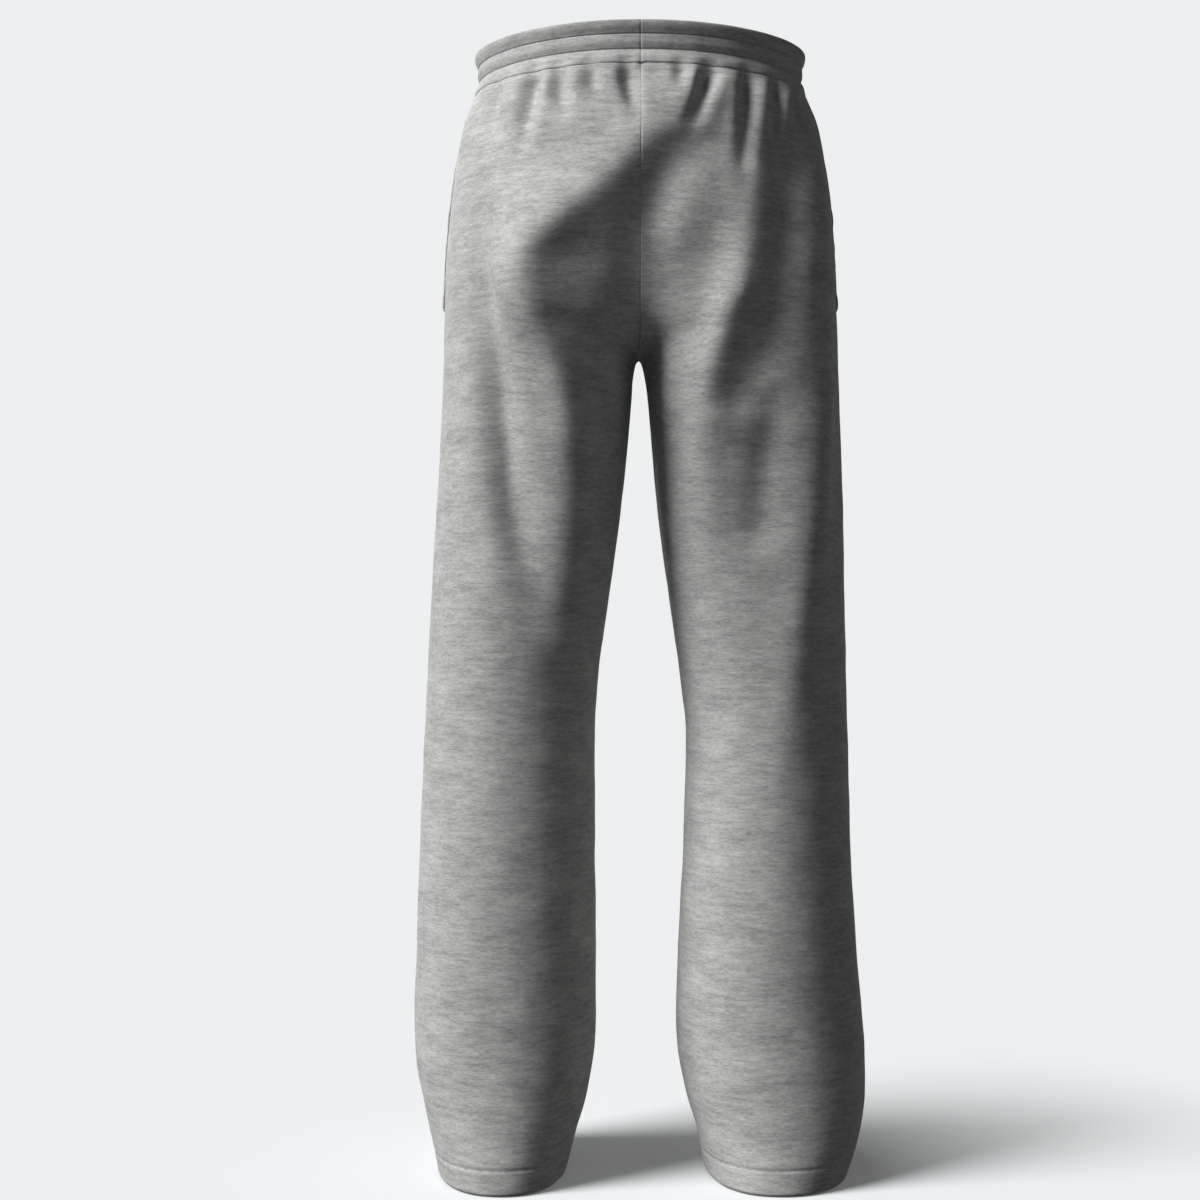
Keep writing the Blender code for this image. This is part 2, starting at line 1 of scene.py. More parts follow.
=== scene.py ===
# %% [markdown]
# # Wide leg pants in light grey marl jersey
#
# The pants stand as if someone wore them: a gathered waist, a seat, two wide tubes down to the floor.
# The solids from the plain part already have that form. This lesson dresses them: fine jersey shells
# with sunk seams and turned hems, a sewn waistband, rows of stitches, pocket bags, and a marl cloth
# whose streaks follow the knit.

# %% Load the frame
import math
from collections import namedtuple

import bmesh
import bpy
import numpy as np
from mathutils import Matrix, Vector, noise


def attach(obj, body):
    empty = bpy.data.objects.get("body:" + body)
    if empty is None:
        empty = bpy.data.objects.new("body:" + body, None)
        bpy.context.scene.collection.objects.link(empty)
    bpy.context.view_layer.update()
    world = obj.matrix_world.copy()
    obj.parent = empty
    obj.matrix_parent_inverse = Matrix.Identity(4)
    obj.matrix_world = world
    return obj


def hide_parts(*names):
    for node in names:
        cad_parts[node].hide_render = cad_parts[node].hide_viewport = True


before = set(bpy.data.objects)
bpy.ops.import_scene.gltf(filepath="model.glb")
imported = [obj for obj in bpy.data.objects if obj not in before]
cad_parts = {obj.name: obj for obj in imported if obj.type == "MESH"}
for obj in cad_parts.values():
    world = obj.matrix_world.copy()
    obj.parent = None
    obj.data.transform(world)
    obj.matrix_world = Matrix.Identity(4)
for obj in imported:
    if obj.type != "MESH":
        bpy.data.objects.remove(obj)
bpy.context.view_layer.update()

# %% [markdown]
# ## The camera and the light
#
# The pants are seen from behind, square on, from two metres away. The camera comes first, so that each
# piece can be looked at as it is made. The key light is a sun from far out on the left. It grazes the
# folds and leaves their far flanks dark, which is what shows how deep they are. Its angle is wide, so the
# edges of its shade are as soft as a large lamp's. A small lamp above the left hip lifts the waistband,
# and a weak sun from the front keeps that side readable when the camera goes round.

# %% Camera
FLOOR_HEIGHT = -1.046
camera_data = bpy.data.cameras.new("camera")
camera_data.lens = 62.4
camera_data.sensor_width = 36
camera_data.clip_end = 300
camera = bpy.data.objects.new("camera", camera_data)
camera.location = (0.037, 2.0, -0.501)
camera.rotation_euler = (math.radians(90), 0, math.radians(180))
bpy.context.scene.collection.objects.link(camera)
bpy.context.scene.camera = camera


# %% Lights
def add_sun(name, azimuth, elevation, softness, strength):
    """A sun whose azimuth is counted from behind the pants towards the wearer's left, in degrees."""
    data = bpy.data.lights.new(name, "SUN")
    data.energy = strength
    data.angle = math.radians(softness)
    sun = bpy.data.objects.new(name, data)
    turn, rise = math.radians(azimuth), math.radians(elevation)
    towards = Vector((math.sin(turn) * math.cos(rise), math.cos(turn) * math.cos(rise), math.sin(rise)))
    sun.rotation_euler = towards.to_track_quat("Z", "Y").to_euler()
    bpy.context.scene.collection.objects.link(sun)
    return sun


KEY_ELEVATION = 39
KEY_STRENGTH = 4.8
add_sun("key_light", 66, KEY_ELEVATION, 28, KEY_STRENGTH)
front_light = add_sun("front_light", 168, 35, 30, 2.6)

BACK_OF_WAIST = Vector((0.0, 0.1, -0.05))
top_data = bpy.data.lights.new("top_light", "AREA")
top_data.energy = 2.3
top_data.size = 0.4
top_light = bpy.data.objects.new("top_light", top_data)
top_light.location = (0.62, 0.62, 0.60)
top_light.rotation_euler = (top_light.location - BACK_OF_WAIST).to_track_quat("Z", "Y").to_euler()
bpy.context.scene.collection.objects.link(top_light)

# %% [markdown]
# ## The backdrop
#
# The floor runs on without a visible end into a pale background, so both have one colour. A floor lit by the
# key alone would look grey, so part of its paleness is its own glow, and its diffuse share takes the soft
# shadow. Away from the pants that share fades into glow alone, so the shadow dies out. The two helper
# lights pass the floor by, so it shows one shadow only. The world behind it has the colour that the lit
# floor comes to, and lights the pants only a little.

# %% Floor and world
PALE = (0.845, 0.862, 0.872)
FLOOR_COLOUR = (0.722, 0.737, 0.746)
AMBIENT = 0.095
SHADOW_FADE = (0.22, 0.75)  # between these distances from the pants' middle, the shadow dies out
SHADOW_BEND = 1.3  # above 1 it dies out sooner at first
floor_light = KEY_STRENGTH * math.sin(math.radians(KEY_ELEVATION)) / math.pi + AMBIENT


def pale_floor():
    """A diffuse share that takes shadows, the glow that it lacks to look pale, and glow alone further out."""
    material = bpy.data.materials.new("pale_floor")
    material.use_nodes = True
    tree = material.node_tree
    shader = tree.nodes["Principled BSDF"]
    shader.inputs["Base Color"].default_value = (*FLOOR_COLOUR, 1)
    shader.inputs["Roughness"].default_value = 0.9
    shader.inputs["Specular IOR Level"].default_value = 0.0
    glow = [seen - lit * floor_light for seen, lit in zip(PALE, FLOOR_COLOUR)]
    shader.inputs["Emission Color"].default_value = (*glow, 1)
    shader.inputs["Emission Strength"].default_value = 1.0
    further_out = tree.nodes.new("ShaderNodeEmission")
    further_out.inputs["Color"].default_value = (*PALE, 1)
    where = tree.nodes.new("ShaderNodeTexCoord")
    distance = tree.nodes.new("ShaderNodeVectorMath")
    distance.operation = "DISTANCE"
    distance.inputs[1].default_value = (0.0, 0.0, FLOOR_HEIGHT)
    tree.links.new(where.outputs["Object"], distance.inputs[0])
    near = tree.nodes.new("ShaderNodeMapRange")
    near.inputs["From Min"].default_value = SHADOW_FADE[0]
    near.inputs["From Max"].default_value = SHADOW_FADE[1]
    near.inputs["To Min"].default_value = 1.0
    near.inputs["To Max"].default_value = 0.0
    tree.links.new(distance.outputs["Value"], near.inputs["Value"])
    bent = tree.nodes.new("ShaderNodeMath")
    bent.operation = "POWER"
    bent.inputs[1].default_value = SHADOW_BEND
    tree.links.new(near.outputs[0], bent.inputs[0])
    mixed = tree.nodes.new("ShaderNodeMixShader")
    tree.links.new(bent.outputs[0], mixed.inputs[0])
    tree.links.new(further_out.outputs[0], mixed.inputs[1])
    tree.links.new(shader.outputs[0], mixed.inputs[2])
    tree.links.new(mixed.outputs[0], tree.nodes["Material Output"].inputs["Surface"])
    return material


bm = bmesh.new()
bmesh.ops.create_grid(bm, x_segments=1, y_segments=1, size=60)
bmesh.ops.translate(bm, vec=(0, 0, FLOOR_HEIGHT), verts=bm.verts)
floor_mesh = bpy.data.meshes.new("floor")
bm.to_mesh(floor_mesh)
bm.free()
floor_mesh.materials.append(pale_floor())
floor = bpy.data.objects.new("floor", floor_mesh)
bpy.context.scene.collection.objects.link(floor)
floor.visible_diffuse = False
key_alone = bpy.data.collections.new("lit_by_the_key_alone")
key_alone.objects.link(floor)
key_alone.collection_objects[0].light_linking.link_state = "EXCLUDE"
for lamp in (top_light, front_light):
    lamp.light_linking.receiver_collection = key_alone

world = bpy.data.worlds.new("pale_studio")
bpy.context.scene.world = world
world.use_nodes = True
nodes, links = world.node_tree.nodes, world.node_tree.links
lighting = nodes["Background"]
lighting.inputs["Color"].default_value = (1.0, 1.0, 1.0, 1)
lighting.inputs["Strength"].default_value = AMBIENT
behind = nodes.new("ShaderNodeBackground")
behind.inputs["Color"].default_value = (*PALE, 1)
behind.inputs["Strength"].default_value = 1.0
seen = nodes.new("ShaderNodeLightPath")
either = nodes.new("ShaderNodeMixShader")
links.new(seen.outputs["Is Camera Ray"], either.inputs[0])
links.new(lighting.outputs[0], either.inputs[1])
links.new(behind.outputs[0], either.inputs[2])
links.new(either.outputs[0], nodes["World Output"].inputs["Surface"])
bpy.context.scene.view_settings.view_transform = "Standard"

# %% [markdown]
# ## The cut in space
#
# A leg panel is a surface in rows. Each row runs level round one quarter of the body or half of a leg,
# from the side seam to the centre seam or the inseam. These tables say where the rows lie: the outline
# from behind, the profile from the side, and the centre seams that curve under to the crotch. They are
# the same sizes that the solids are made from, so the cloth lies on its solids.

# %% Sizes of the cloth
WALL = 0.0018  # one layer of jersey
HEM_WALL = 0.0034  # two layers, where the hem is turned up
HEM_DEPTH = 0.024
SEAM_GAP = 0.0003
EDGE = 0.00002  # from a centre seam to each dressed panel's edge
ORIGIN_HEIGHT = 1.045  # the tables' heights are above the hems
SIDE_TOP = 1.0255
CROTCH_HEIGHT = 0.772
CROTCH_DEPTH = 0.012
SIDE_AT_CROTCH = 0.800
LEVEL_REACH = 0.5
CROTCH_OPEN = 0.016
CROTCH_OPEN_FADE = 0.3
TUCK_START = 0.6
ARCH_CALM = 0.2  # how fast the arch under the crotch may carry a row's lobe outwards
SIDE_CALM = 0.015  # beside the side seam the folds die out
HALVES = ("left", "right")
FACES = ("back", "front")
OUTWARD_Y = {"back": 1.0, "front": -1.0}

# %% Outline, profile and centre seams
Outline = namedtuple("Outline", "height out_left out_right in_left in_right")
OUTLINES = (
    Outline(1.0255, 0.1571, 0.1600, 0.0, 0.0),
    Outline(0.996, 0.1677, 0.1715, 0.0, 0.0),
    Outline(0.957, 0.1744, 0.1783, 0.0, 0.0),
    Outline(0.919, 0.1792, 0.1831, 0.0, 0.0),
    Outline(0.842, 0.1850, 0.1880, 0.0, 0.0),
    Outline(0.772, 0.1860, 0.1900, 0.0, 0.0),
    Outline(0.7705, 0.1860, 0.1900, 0.0026, 0.0028),
    Outline(0.765, 0.1862, 0.1904, 0.0046, 0.0052),
    Outline(0.727, 0.1879, 0.1920, 0.0072, 0.0091),
    Outline(0.6305, 0.1936, 0.1956, 0.0168, 0.0178),
    Outline(0.554, 0.1984, 0.1972, 0.0274, 0.0283),
    Outline(0.4575, 0.2033, 0.1994, 0.0399, 0.0418),
    Outline(0.419, 0.2052, 0.2004, 0.0418, 0.0456),
    Outline(0.304, 0.2100, 0.2033, 0.0418, 0.0428),
    Outline(0.208, 0.2129, 0.2090, 0.0408, 0.0380),
    Outline(0.150, 0.2148, 0.2138, 0.0408, 0.0360),
    Outline(0.112, 0.2138, 0.2167, 0.0428, 0.0380),
    Outline(0.073, 0.2071, 0.2167, 0.0495, 0.0456),
    Outline(0.035, 0.1984, 0.2104, 0.0601, 0.0567),
    Outline(0.0, 0.1908, 0.1989, 0.0697, 0.0639),
)
Profile = namedtuple("Profile", "height side inseam front back lobe_front lobe_back full inner_full")
PROFILES = (
    Profile(1.035, 0.000, 0.012, 0.118, 0.118, 0.02, 0.02, 0.56, 0.56),
    Profile(0.960, 0.002, 0.012, 0.125, 0.131, 0.20, 0.25, 0.57, 0.57),
    Profile(0.900, 0.004, 0.012, 0.127, 0.138, 0.34, 0.40, 0.58, 0.60),
    Profile(0.840, 0.004, 0.012, 0.126, 0.137, 0.44, 0.48, 0.58, 0.66),
    Profile(0.765, 0.002, 0.012, 0.119, 0.126, 0.50, 0.52, 0.58, 0.80),
    Profile(0.680, 0.000, 0.008, 0.110, 0.112, 0.50, 0.52, 0.58, 0.76),
    Profile(0.550, -0.003, 0.000, 0.100, 0.096, 0.50, 0.50, 0.58, 0.68),
    Profile(0.420, -0.002, -0.002, 0.092, 0.087, 0.50, 0.50, 0.58, 0.62),
    Profile(0.300, 0.000, 0.000, 0.087, 0.088, 0.50, 0.50, 0.58, 0.595),
    Profile(0.150, 0.000, 0.000, 0.088, 0.091, 0.50, 0.49, 0.585, 0.595),
    Profile(0.070, 0.000, 0.000, 0.096, 0.096, 0.50, 0.48, 0.60, 0.605),
    Profile(0.000, 0.000, 0.000, 0.106, 0.105, 0.50, 0.48, 0.62, 0.63),
)
SeamPoint = namedtuple("SeamPoint", "height depth")
CENTRE_SEAMS = {
    "back": (
        SeamPoint(1.031, 0.118),
        SeamPoint(0.980, 0.126),
        SeamPoint(0.930, 0.132),
        SeamPoint(0.880, 0.132),
        SeamPoint(0.840, 0.127),
        SeamPoint(0.812, 0.117),
        SeamPoint(0.794, 0.101),
        SeamPoint(0.782, 0.078),
        SeamPoint(0.775, 0.046),
        SeamPoint(CROTCH_HEIGHT, CROTCH_DEPTH),
    ),
    "front": (
        SeamPoint(1.0135, -0.118),
        SeamPoint(0.950, -0.124),
        SeamPoint(0.890, -0.125),
        SeamPoint(0.845, -0.119),
        SeamPoint(0.814, -0.104),
        SeamPoint(0.792, -0.074),
        SeamPoint(0.778, -0.030),
        SeamPoint(CROTCH_HEIGHT, CROTCH_DEPTH),
    ),
}


# %% Read the tables
def ease(t):
    """0 to 1, level at both ends."""
    t = np.clip(t, 0.0, 1.0)
    return t * t * (3 - 2 * t)


def smooth_value(places, values, at):
    """Curve through the values, level at their highs and lows and never past them."""
    order = np.argsort(places)
    x, y = np.asarray(places, float)[order], np.asarray(values, float)[order]
    run = np.diff(x)
    slope = np.diff(y) / run
    tangent = np.zeros(len(x))
    tangent[0], tangent[-1] = slope[0], slope[-1]
    same_way = slope[:-1] * slope[1:] > 0
    before, after = slope[:-1][same_way], slope[1:][same_way]
    tangent[1:-1][same_way] = 2 * before * after / (before + after)
    at = np.clip(np.asarray(at, float), x[0], x[-1])
    left = np.clip(np.searchsorted(x, at) - 1, 0, len(run) - 1)
    t = (at - x[left]) / run[left]
    start = (1 + 2 * t) * (1 - t) ** 2 * y[left] + t * (1 - t) ** 2 * run[left] * tangent[left]
    end = t * t * (3 - 2 * t) * y[left + 1] + t * t * (t - 1) * run[left] * tangent[left + 1]
    return start + end


def from_table(table, column, height):
    """One column of a table, read at a height."""
    return smooth_value([row.height for row in table], [getattr(row, column) for row in table], height)


def centre_seam_point(face, travel):
    """Height and depth on a centre seam, from the waistband (0) to the crotch (1)."""
    points = np.array(CENTRE_SEAMS[face])
    lengths = np.append(0.0, np.cumsum(np.linalg.norm(np.diff(points, axis=0), axis=1)))
    lengths /= lengths[-1]
    return [float(smooth_value(lengths, points[:, axis], travel)) for axis in (0, 1)]


print("crotch at", CROTCH_HEIGHT, "m above the hems, waist seam at", SIDE_TOP, "m at the sides")

# %% [markdown]
# ## Gathers and folds
#
# Elastic draws the cloth in, so short troughs hang from the waistband, uneven in place, length and depth.
# Below them the cloth hangs over the seat: a long ridge on the left with a trough beside it, a wide
# trough right of the centre, a deep one on the right hip, and quiet folds down each leg. They could be
# simulated, but a table puts each fold where it is seen, and the front gets similar ones.

# %% Tables of gathers and folds
Gather = namedtuple("Gather", "face across drift length depth width")
GATHERS = (
    Gather("back", 0.132, 0.006, 0.070, 0.0066, 0.0105),
    Gather("back", 0.097, 0.015, 0.100, 0.0100, 0.0120),
    Gather("back", 0.076, -0.008, 0.058, 0.0082, 0.0102),
    Gather("back", 0.047, -0.009, 0.042, 0.0064, 0.0095),
    Gather("back", 0.013, -0.010, 0.072, 0.0070, 0.0092),
    Gather("back", -0.036, -0.001, 0.034, 0.0056, 0.0086),
    Gather("back", -0.064, 0.024, 0.078, 0.0096, 0.0115),
    Gather("back", -0.099, 0.004, 0.125, 0.0076, 0.0112),
    Gather("back", -0.126, -0.004, 0.090, 0.0056, 0.0100),
    Gather("back", -0.145, -0.003, 0.050, 0.0044, 0.0086),
    Gather("front", 0.134, 0.004, 0.060, 0.0055, 0.0099),
    Gather("front", 0.107, 0.003, 0.048, 0.0065, 0.0106),
    Gather("front", 0.076, -0.006, 0.085, 0.0078, 0.0112),
    Gather("front", 0.046, 0.004, 0.040, 0.0055, 0.0092),
    Gather("front", 0.016, -0.003, 0.055, 0.0065, 0.0092),
    Gather("front", -0.018, -0.005, 0.046, 0.0058, 0.0092),
    Gather("front", -0.050, 0.006, 0.078, 0.0074, 0.0112),
    Gather("front", -0.083, -0.003, 0.042, 0.0058, 0.0099),
    Gather("front", -0.110, 0.008, 0.090, 0.0081, 0.0112),
    Gather("front", -0.139, -0.003, 0.052, 0.0048, 0.0092),
)
Station = namedtuple("Station", "across height relief")
Fold = namedtuple("Fold", "face width stations")
FOLDS = (
    # Left leg, back: trough outside the long ridge, then the ridge from the waist over the seat and down.
    Fold("back", 0.022, (Station(0.146, 0.960, 0.0), Station(0.149, 0.880, -0.011),
                         Station(0.146, 0.820, -0.016), Station(0.136, 0.760, -0.017),
                         Station(0.127, 0.690, -0.017), Station(0.115, 0.617, -0.013),
                         Station(0.100, 0.560, -0.006), Station(0.088, 0.510, 0.0))),
    Fold("back", 0.040, (Station(-0.026, 1.022, 0.0), Station(-0.022, 1.004, 0.004),
                         Station(-0.015, 0.984, 0.007), Station(0.006, 0.955, 0.009),
                         Station(0.044, 0.912, 0.010), Station(0.074, 0.880, 0.007),
                         Station(0.096, 0.850, 0.0))),
    Fold("back", 0.023, (Station(0.070, 0.905, 0.0), Station(0.097, 0.868, 0.006),
                         Station(0.109, 0.840, 0.011), Station(0.098, 0.803, 0.013),
                         Station(0.079, 0.770, 0.013), Station(0.067, 0.720, 0.012),
                         Station(0.063, 0.620, 0.006), Station(0.066, 0.530, 0.0))),
    Fold("back", 0.044, (Station(0.056, 0.940, 0.0), Station(0.084, 0.895, 0.006),
                         Station(0.102, 0.847, 0.011), Station(0.093, 0.805, 0.008),
                         Station(0.080, 0.762, 0.003), Station(0.074, 0.720, 0.0))),
    # Seat: a valley below that ridge, down beside the centre seam, and a wide trough to its right.
    Fold("back", 0.024, (Station(-0.040, 0.968, 0.0), Station(-0.028, 0.948, -0.005),
                         Station(-0.014, 0.920, -0.008), Station(-0.005, 0.890, -0.009),
                         Station(-0.002, 0.850, -0.008), Station(-0.002, 0.815, -0.005),
                         Station(0.000, 0.785, 0.0))),
    Fold("back", 0.042, (Station(-0.060, 0.996, 0.0), Station(-0.078, 0.940, -0.008),
                         Station(-0.074, 0.890, -0.011), Station(-0.062, 0.850, -0.012),
                         Station(-0.050, 0.812, -0.009), Station(-0.041, 0.780, -0.004),
                         Station(-0.035, 0.750, 0.0))),
    # Right leg, back: ridge from the hip in to the crotch and down, the deep trough beside it, and a long
    # ridge near the side seam.
    Fold("back", 0.020, (Station(-0.094, 0.900, 0.0), Station(-0.092, 0.860, 0.002),
                         Station(-0.083, 0.820, 0.005), Station(-0.066, 0.760, 0.008),
                         Station(-0.058, 0.690, 0.006), Station(-0.062, 0.560, 0.0))),
    Fold("back", 0.036, (Station(-0.136, 1.010, 0.0), Station(-0.142, 0.935, -0.014),
                         Station(-0.140, 0.890, -0.017), Station(-0.136, 0.854, -0.017),
                         Station(-0.130, 0.818, -0.016), Station(-0.122, 0.781, -0.013),
                         Station(-0.109, 0.745, -0.008), Station(-0.092, 0.710, 0.0))),
    Fold("back", 0.019, (Station(-0.127, 0.745, 0.0), Station(-0.122, 0.715, -0.006),
                         Station(-0.116, 0.680, -0.006), Station(-0.112, 0.620, -0.005),
                         Station(-0.105, 0.575, 0.0))),
    Fold("back", 0.024, (Station(-0.171, 0.800, 0.0), Station(-0.168, 0.750, 0.004),
                         Station(-0.163, 0.700, 0.009), Station(-0.158, 0.620, 0.010),
                         Station(-0.152, 0.550, 0.008), Station(-0.144, 0.460, 0.004),
                         Station(-0.136, 0.380, 0.0))),
    # Front: soft folds that fan out from the crotch, and one long ridge down each leg.
    Fold("front", 0.018, (Station(0.024, 0.800, 0.0), Station(0.052, 0.828, -0.0045),
                          Station(0.088, 0.858, -0.0040), Station(0.120, 0.884, 0.0))),
    Fold("front", 0.020, (Station(-0.030, 0.782, 0.0), Station(-0.060, 0.800, -0.0040),
                          Station(-0.098, 0.812, -0.0030), Station(-0.132, 0.820, 0.0))),
    Fold("front", 0.018, (Station(0.120, 0.900, 0.0), Station(0.105, 0.800, 0.006),
                          Station(0.098, 0.680, 0.006), Station(0.104, 0.520, 0.0))),
    Fold("front", 0.018, (Station(-0.128, 0.880, 0.0), Station(-0.112, 0.770, 0.007),
                          Station(-0.102, 0.640, 0.005), Station(-0.106, 0.500, 0.0))),
    Fold("front", 0.014, (Station(0.150, 0.800, 0.0), Station(0.146, 0.700, -0.006),
                          Station(0.138, 0.590, -0.005), Station(0.134, 0.490, 0.0))),
    Fold("front", 0.014, (Station(-0.060, 0.730, 0.0), Station(-0.062, 0.660, -0.005),
                          Station(-0.070, 0.560, -0.004), Station(-0.078, 0.480, 0.0))),
)
GATHER_DEEPEST = 0.016
GATHER_AT_SEAM = 0.25
GATHER_SHOULDER = 1.1
GATHER_FALL = 0.8
print(len(GATHERS), "gathers,", len(FOLDS), "large folds")

# %% [markdown]
# ## Small creases
#
# Between the large folds a soft jersey also has small ones: sharp pinches right under the waistband,
# where a gather is pressed together. The solids leave them out. They are folds too, so the same kind of table
# holds them, only narrower and shallower.

# %% Table of small creases
CREASES = (
    Fold("back", 0.0050, (Station(0.020, 1.029, 0.0), Station(0.016, 1.012, -0.0020),
                          Station(0.009, 0.996, -0.0014), Station(0.000, 0.984, 0.0))),
    Fold("back", 0.0055, (Station(0.086, 1.026, 0.0), Station(0.082, 1.010, -0.0014),
                          Station(0.074, 0.992, 0.0))),
    Fold("back", 0.0040, (Station(-0.051, 1.028, 0.0), Station(-0.049, 1.012, 0.0014),
                          Station(-0.042, 0.990, 0.0010), Station(-0.032, 0.972, 0.0))),
    Fold("back", 0.0045, (Station(-0.066, 1.028, 0.0), Station(-0.062, 1.012, -0.0016),
                          Station(-0.054, 0.990, -0.0010), Station(-0.044, 0.968, 0.0))),
    Fold("back", 0.0045, (Station(-0.101, 1.024, 0.0), Station(-0.100, 1.000, -0.0010),
                          Station(-0.096, 0.960, -0.0008), Station(-0.092, 0.930, 0.0))),
    Fold("back", 0.0045, (Station(-0.128, 1.022, 0.0), Station(-0.128, 0.990, -0.0008),
                          Station(-0.129, 0.950, -0.0005), Station(-0.128, 0.920, 0.0))),
    Fold("back", 0.0060, (Station(0.030, 0.955, 0.0), Station(0.010, 0.935, -0.0012),
                          Station(-0.012, 0.910, 0.0))),
    Fold("front", 0.0040, (Station(0.028, 1.010, 0.0), Station(0.026, 0.996, -0.0020),
                           Station(0.020, 0.972, 0.0))),
    Fold("front", 0.0045, (Station(-0.062, 1.010, 0.0), Station(-0.060, 0.990, -0.0022),
                           Station(-0.052, 0.955, 0.0))),
    Fold("front", 0.0045, (Station(0.092, 1.014, 0.0), Station(0.090, 0.985, -0.0018),
                           Station(0.084, 0.950, 0.0))),
    Fold("front", 0.0045, (Station(-0.120, 1.016, 0.0), Station(-0.118, 0.985, -0.0020),
                           Station(-0.110, 0.945, 0.0))),
)
print(len(CREASES), "small creases")

# %% [markdown]
# ## The surface of a panel
#
# A row is two quarter turns: from the side seam out to the lobe, and from there to the centre seam or
# inseam. A Bezier turn needs only its ends, the corners that it heads for and how full it is. Near the
# crotch the rows change fast, so they are evened out there. The rows' points are then moved along the
# surface's own direction by all folds that pass near them.

# %% Rows of a panel
COLUMNS = 122
BODY_ROWS = 92
BODY_SPREAD = 1.1  # above 1 it sets the first rows closer together
LEG_ROWS = 140
LEG_SPREAD = 1.05
CURVE_STEPS = 60
CLOSE_TO_SEAM = (0.0, 0.0003, 0.0007, 0.0012, 0.0019, 0.0030)
HEM_ROW = 0.0225  # the sewn row, above the hem's edge
CLOSE_TO_HEM = (0.0004, 0.0010, 0.0017, 0.0028, 0.0193, 0.0204, 0.0212, 0.0219, HEM_ROW, 0.0231, 0.0238,
                0.0246, 0.0257)
CLOSE_TO_CROTCH = (0.7715, 0.7706, 0.7692)
CLOSE_TO_WAIST = (0.0008, 0.003, 0.006)
WAIST_ROWS = 1 + len(CLOSE_TO_WAIST)


def spaced_columns(length):
    """Distances along a row: close together beside its two seams, and even between."""
    near = np.array(CLOSE_TO_SEAM)
    even = np.linspace(CLOSE_TO_SEAM[-1], length - CLOSE_TO_SEAM[-1], COLUMNS - 2 * len(near) + 2)
    return np.concatenate([near[:-1], even, length - near[-2::-1]])


def row_stations():
    """Where the rows lie: 0 at the waistband, 1 at the crotch, 2 at the hem."""
    body = [(k / BODY_ROWS) ** BODY_SPREAD for k in range(BODY_ROWS)]
    leg = [1 + (k / LEG_ROWS) ** LEG_SPREAD for k in range(LEG_ROWS + 1)]
    near_hem = [2 - height / CROTCH_HEIGHT for height in CLOSE_TO_HEM]
    near_crotch = [2 - height / CROTCH_HEIGHT for height in CLOSE_TO_CROTCH]
    return np.array(sorted(body + list(CLOSE_TO_WAIST) + near_crotch + leg + near_hem))


def quarter(start, start_corner, end, end_corner, full):
    """A Bezier quarter turn in plan, which leaves and arrives towards its corners."""
    first = start + (start_corner - start) * full
    second = end + (end_corner - end) * full
    t = np.linspace(0, 1, CURVE_STEPS)[:, None]
    return (1 - t) ** 3 * start + 3 * (1 - t) ** 2 * t * first + 3 * (1 - t) * t * t * second + t ** 3 * end


def row_ends(half, face, station):
    """The inner edge and the side of a row in plan, their heights, and how it turns under."""
    gap = OUTWARD_Y[face] * SEAM_GAP / 2
    if station <= 1:
        edge_height, depth = centre_seam_point(face, station)
        side_height = SIDE_TOP + (SIDE_AT_CROTCH - SIDE_TOP) * station
        tuck, opening = float(ease((station - TUCK_START) / (1 - TUCK_START))), CROTCH_OPEN
        edge = np.array([SEAM_GAP / 2, depth + (gap if station == 1 else 0.0)])
    else:
        left = 2 - station
        edge_height = CROTCH_HEIGHT * left
        side_height = edge_height + (SIDE_AT_CROTCH - CROTCH_HEIGHT) * left * left
        tuck, opening = 1.0, CROTCH_OPEN * float(ease(1 - (station - 1) / CROTCH_OPEN_FADE))
        edge = np.array([max(SEAM_GAP / 2, float(from_table(OUTLINES, "in_" + half, edge_height))),
                         float(from_table(PROFILES, "inseam", edge_height)) + gap])
    side = np.array([float(from_table(OUTLINES, "out_" + half, side_height)),
                     float(from_table(PROFILES, "side", side_height)) + gap])
    return edge, edge_height, side, side_height, tuck, opening


def row_curve(half, face, station):
    """One row in plan, from the side seam to its inner edge, with the heights of its ends."""
    edge, edge_height, side, side_height, tuck, opening = row_ends(half, face, station)
    middle = (side_height + edge_height) / 2
    full, inner_full, lobe, reach = [float(from_table(PROFILES, column, middle))
                                     for column in ("full", "inner_full", "lobe_" + face, face)]
    calm_edge = max(SEAM_GAP / 2, min(edge[0], ARCH_CALM * (CROTCH_HEIGHT - edge_height)))
    furthest = np.array([calm_edge + lobe * (side[0] - calm_edge), OUTWARD_Y[face] * reach])
    side_corner = np.array([side[0], furthest[1]])
    level_edge = np.array([edge[0], furthest[1]])
    level_corner = edge + np.array([LEVEL_REACH * (furthest[0] - edge[0]), 0.0])
    edge_corner = level_corner + (level_edge + np.array([opening, 0.0]) - level_corner) * tuck
    return np.vstack([quarter(side, side_corner, furthest, side_corner, full),
                      quarter(furthest, level_edge, edge, edge_corner, inner_full)[1:]]), side_height, edge_height


# %% Relief of gathers, folds and creases
MOUTH_TOP = 0.985
MOUTH_LOW = 0.815
MOUTH_LIP = 0.0022
MOUTH_REACH = 0.012
MOUTH_FADES = (0.030, 0.012)  # over these heights its lip dies out, at the top and the bottom


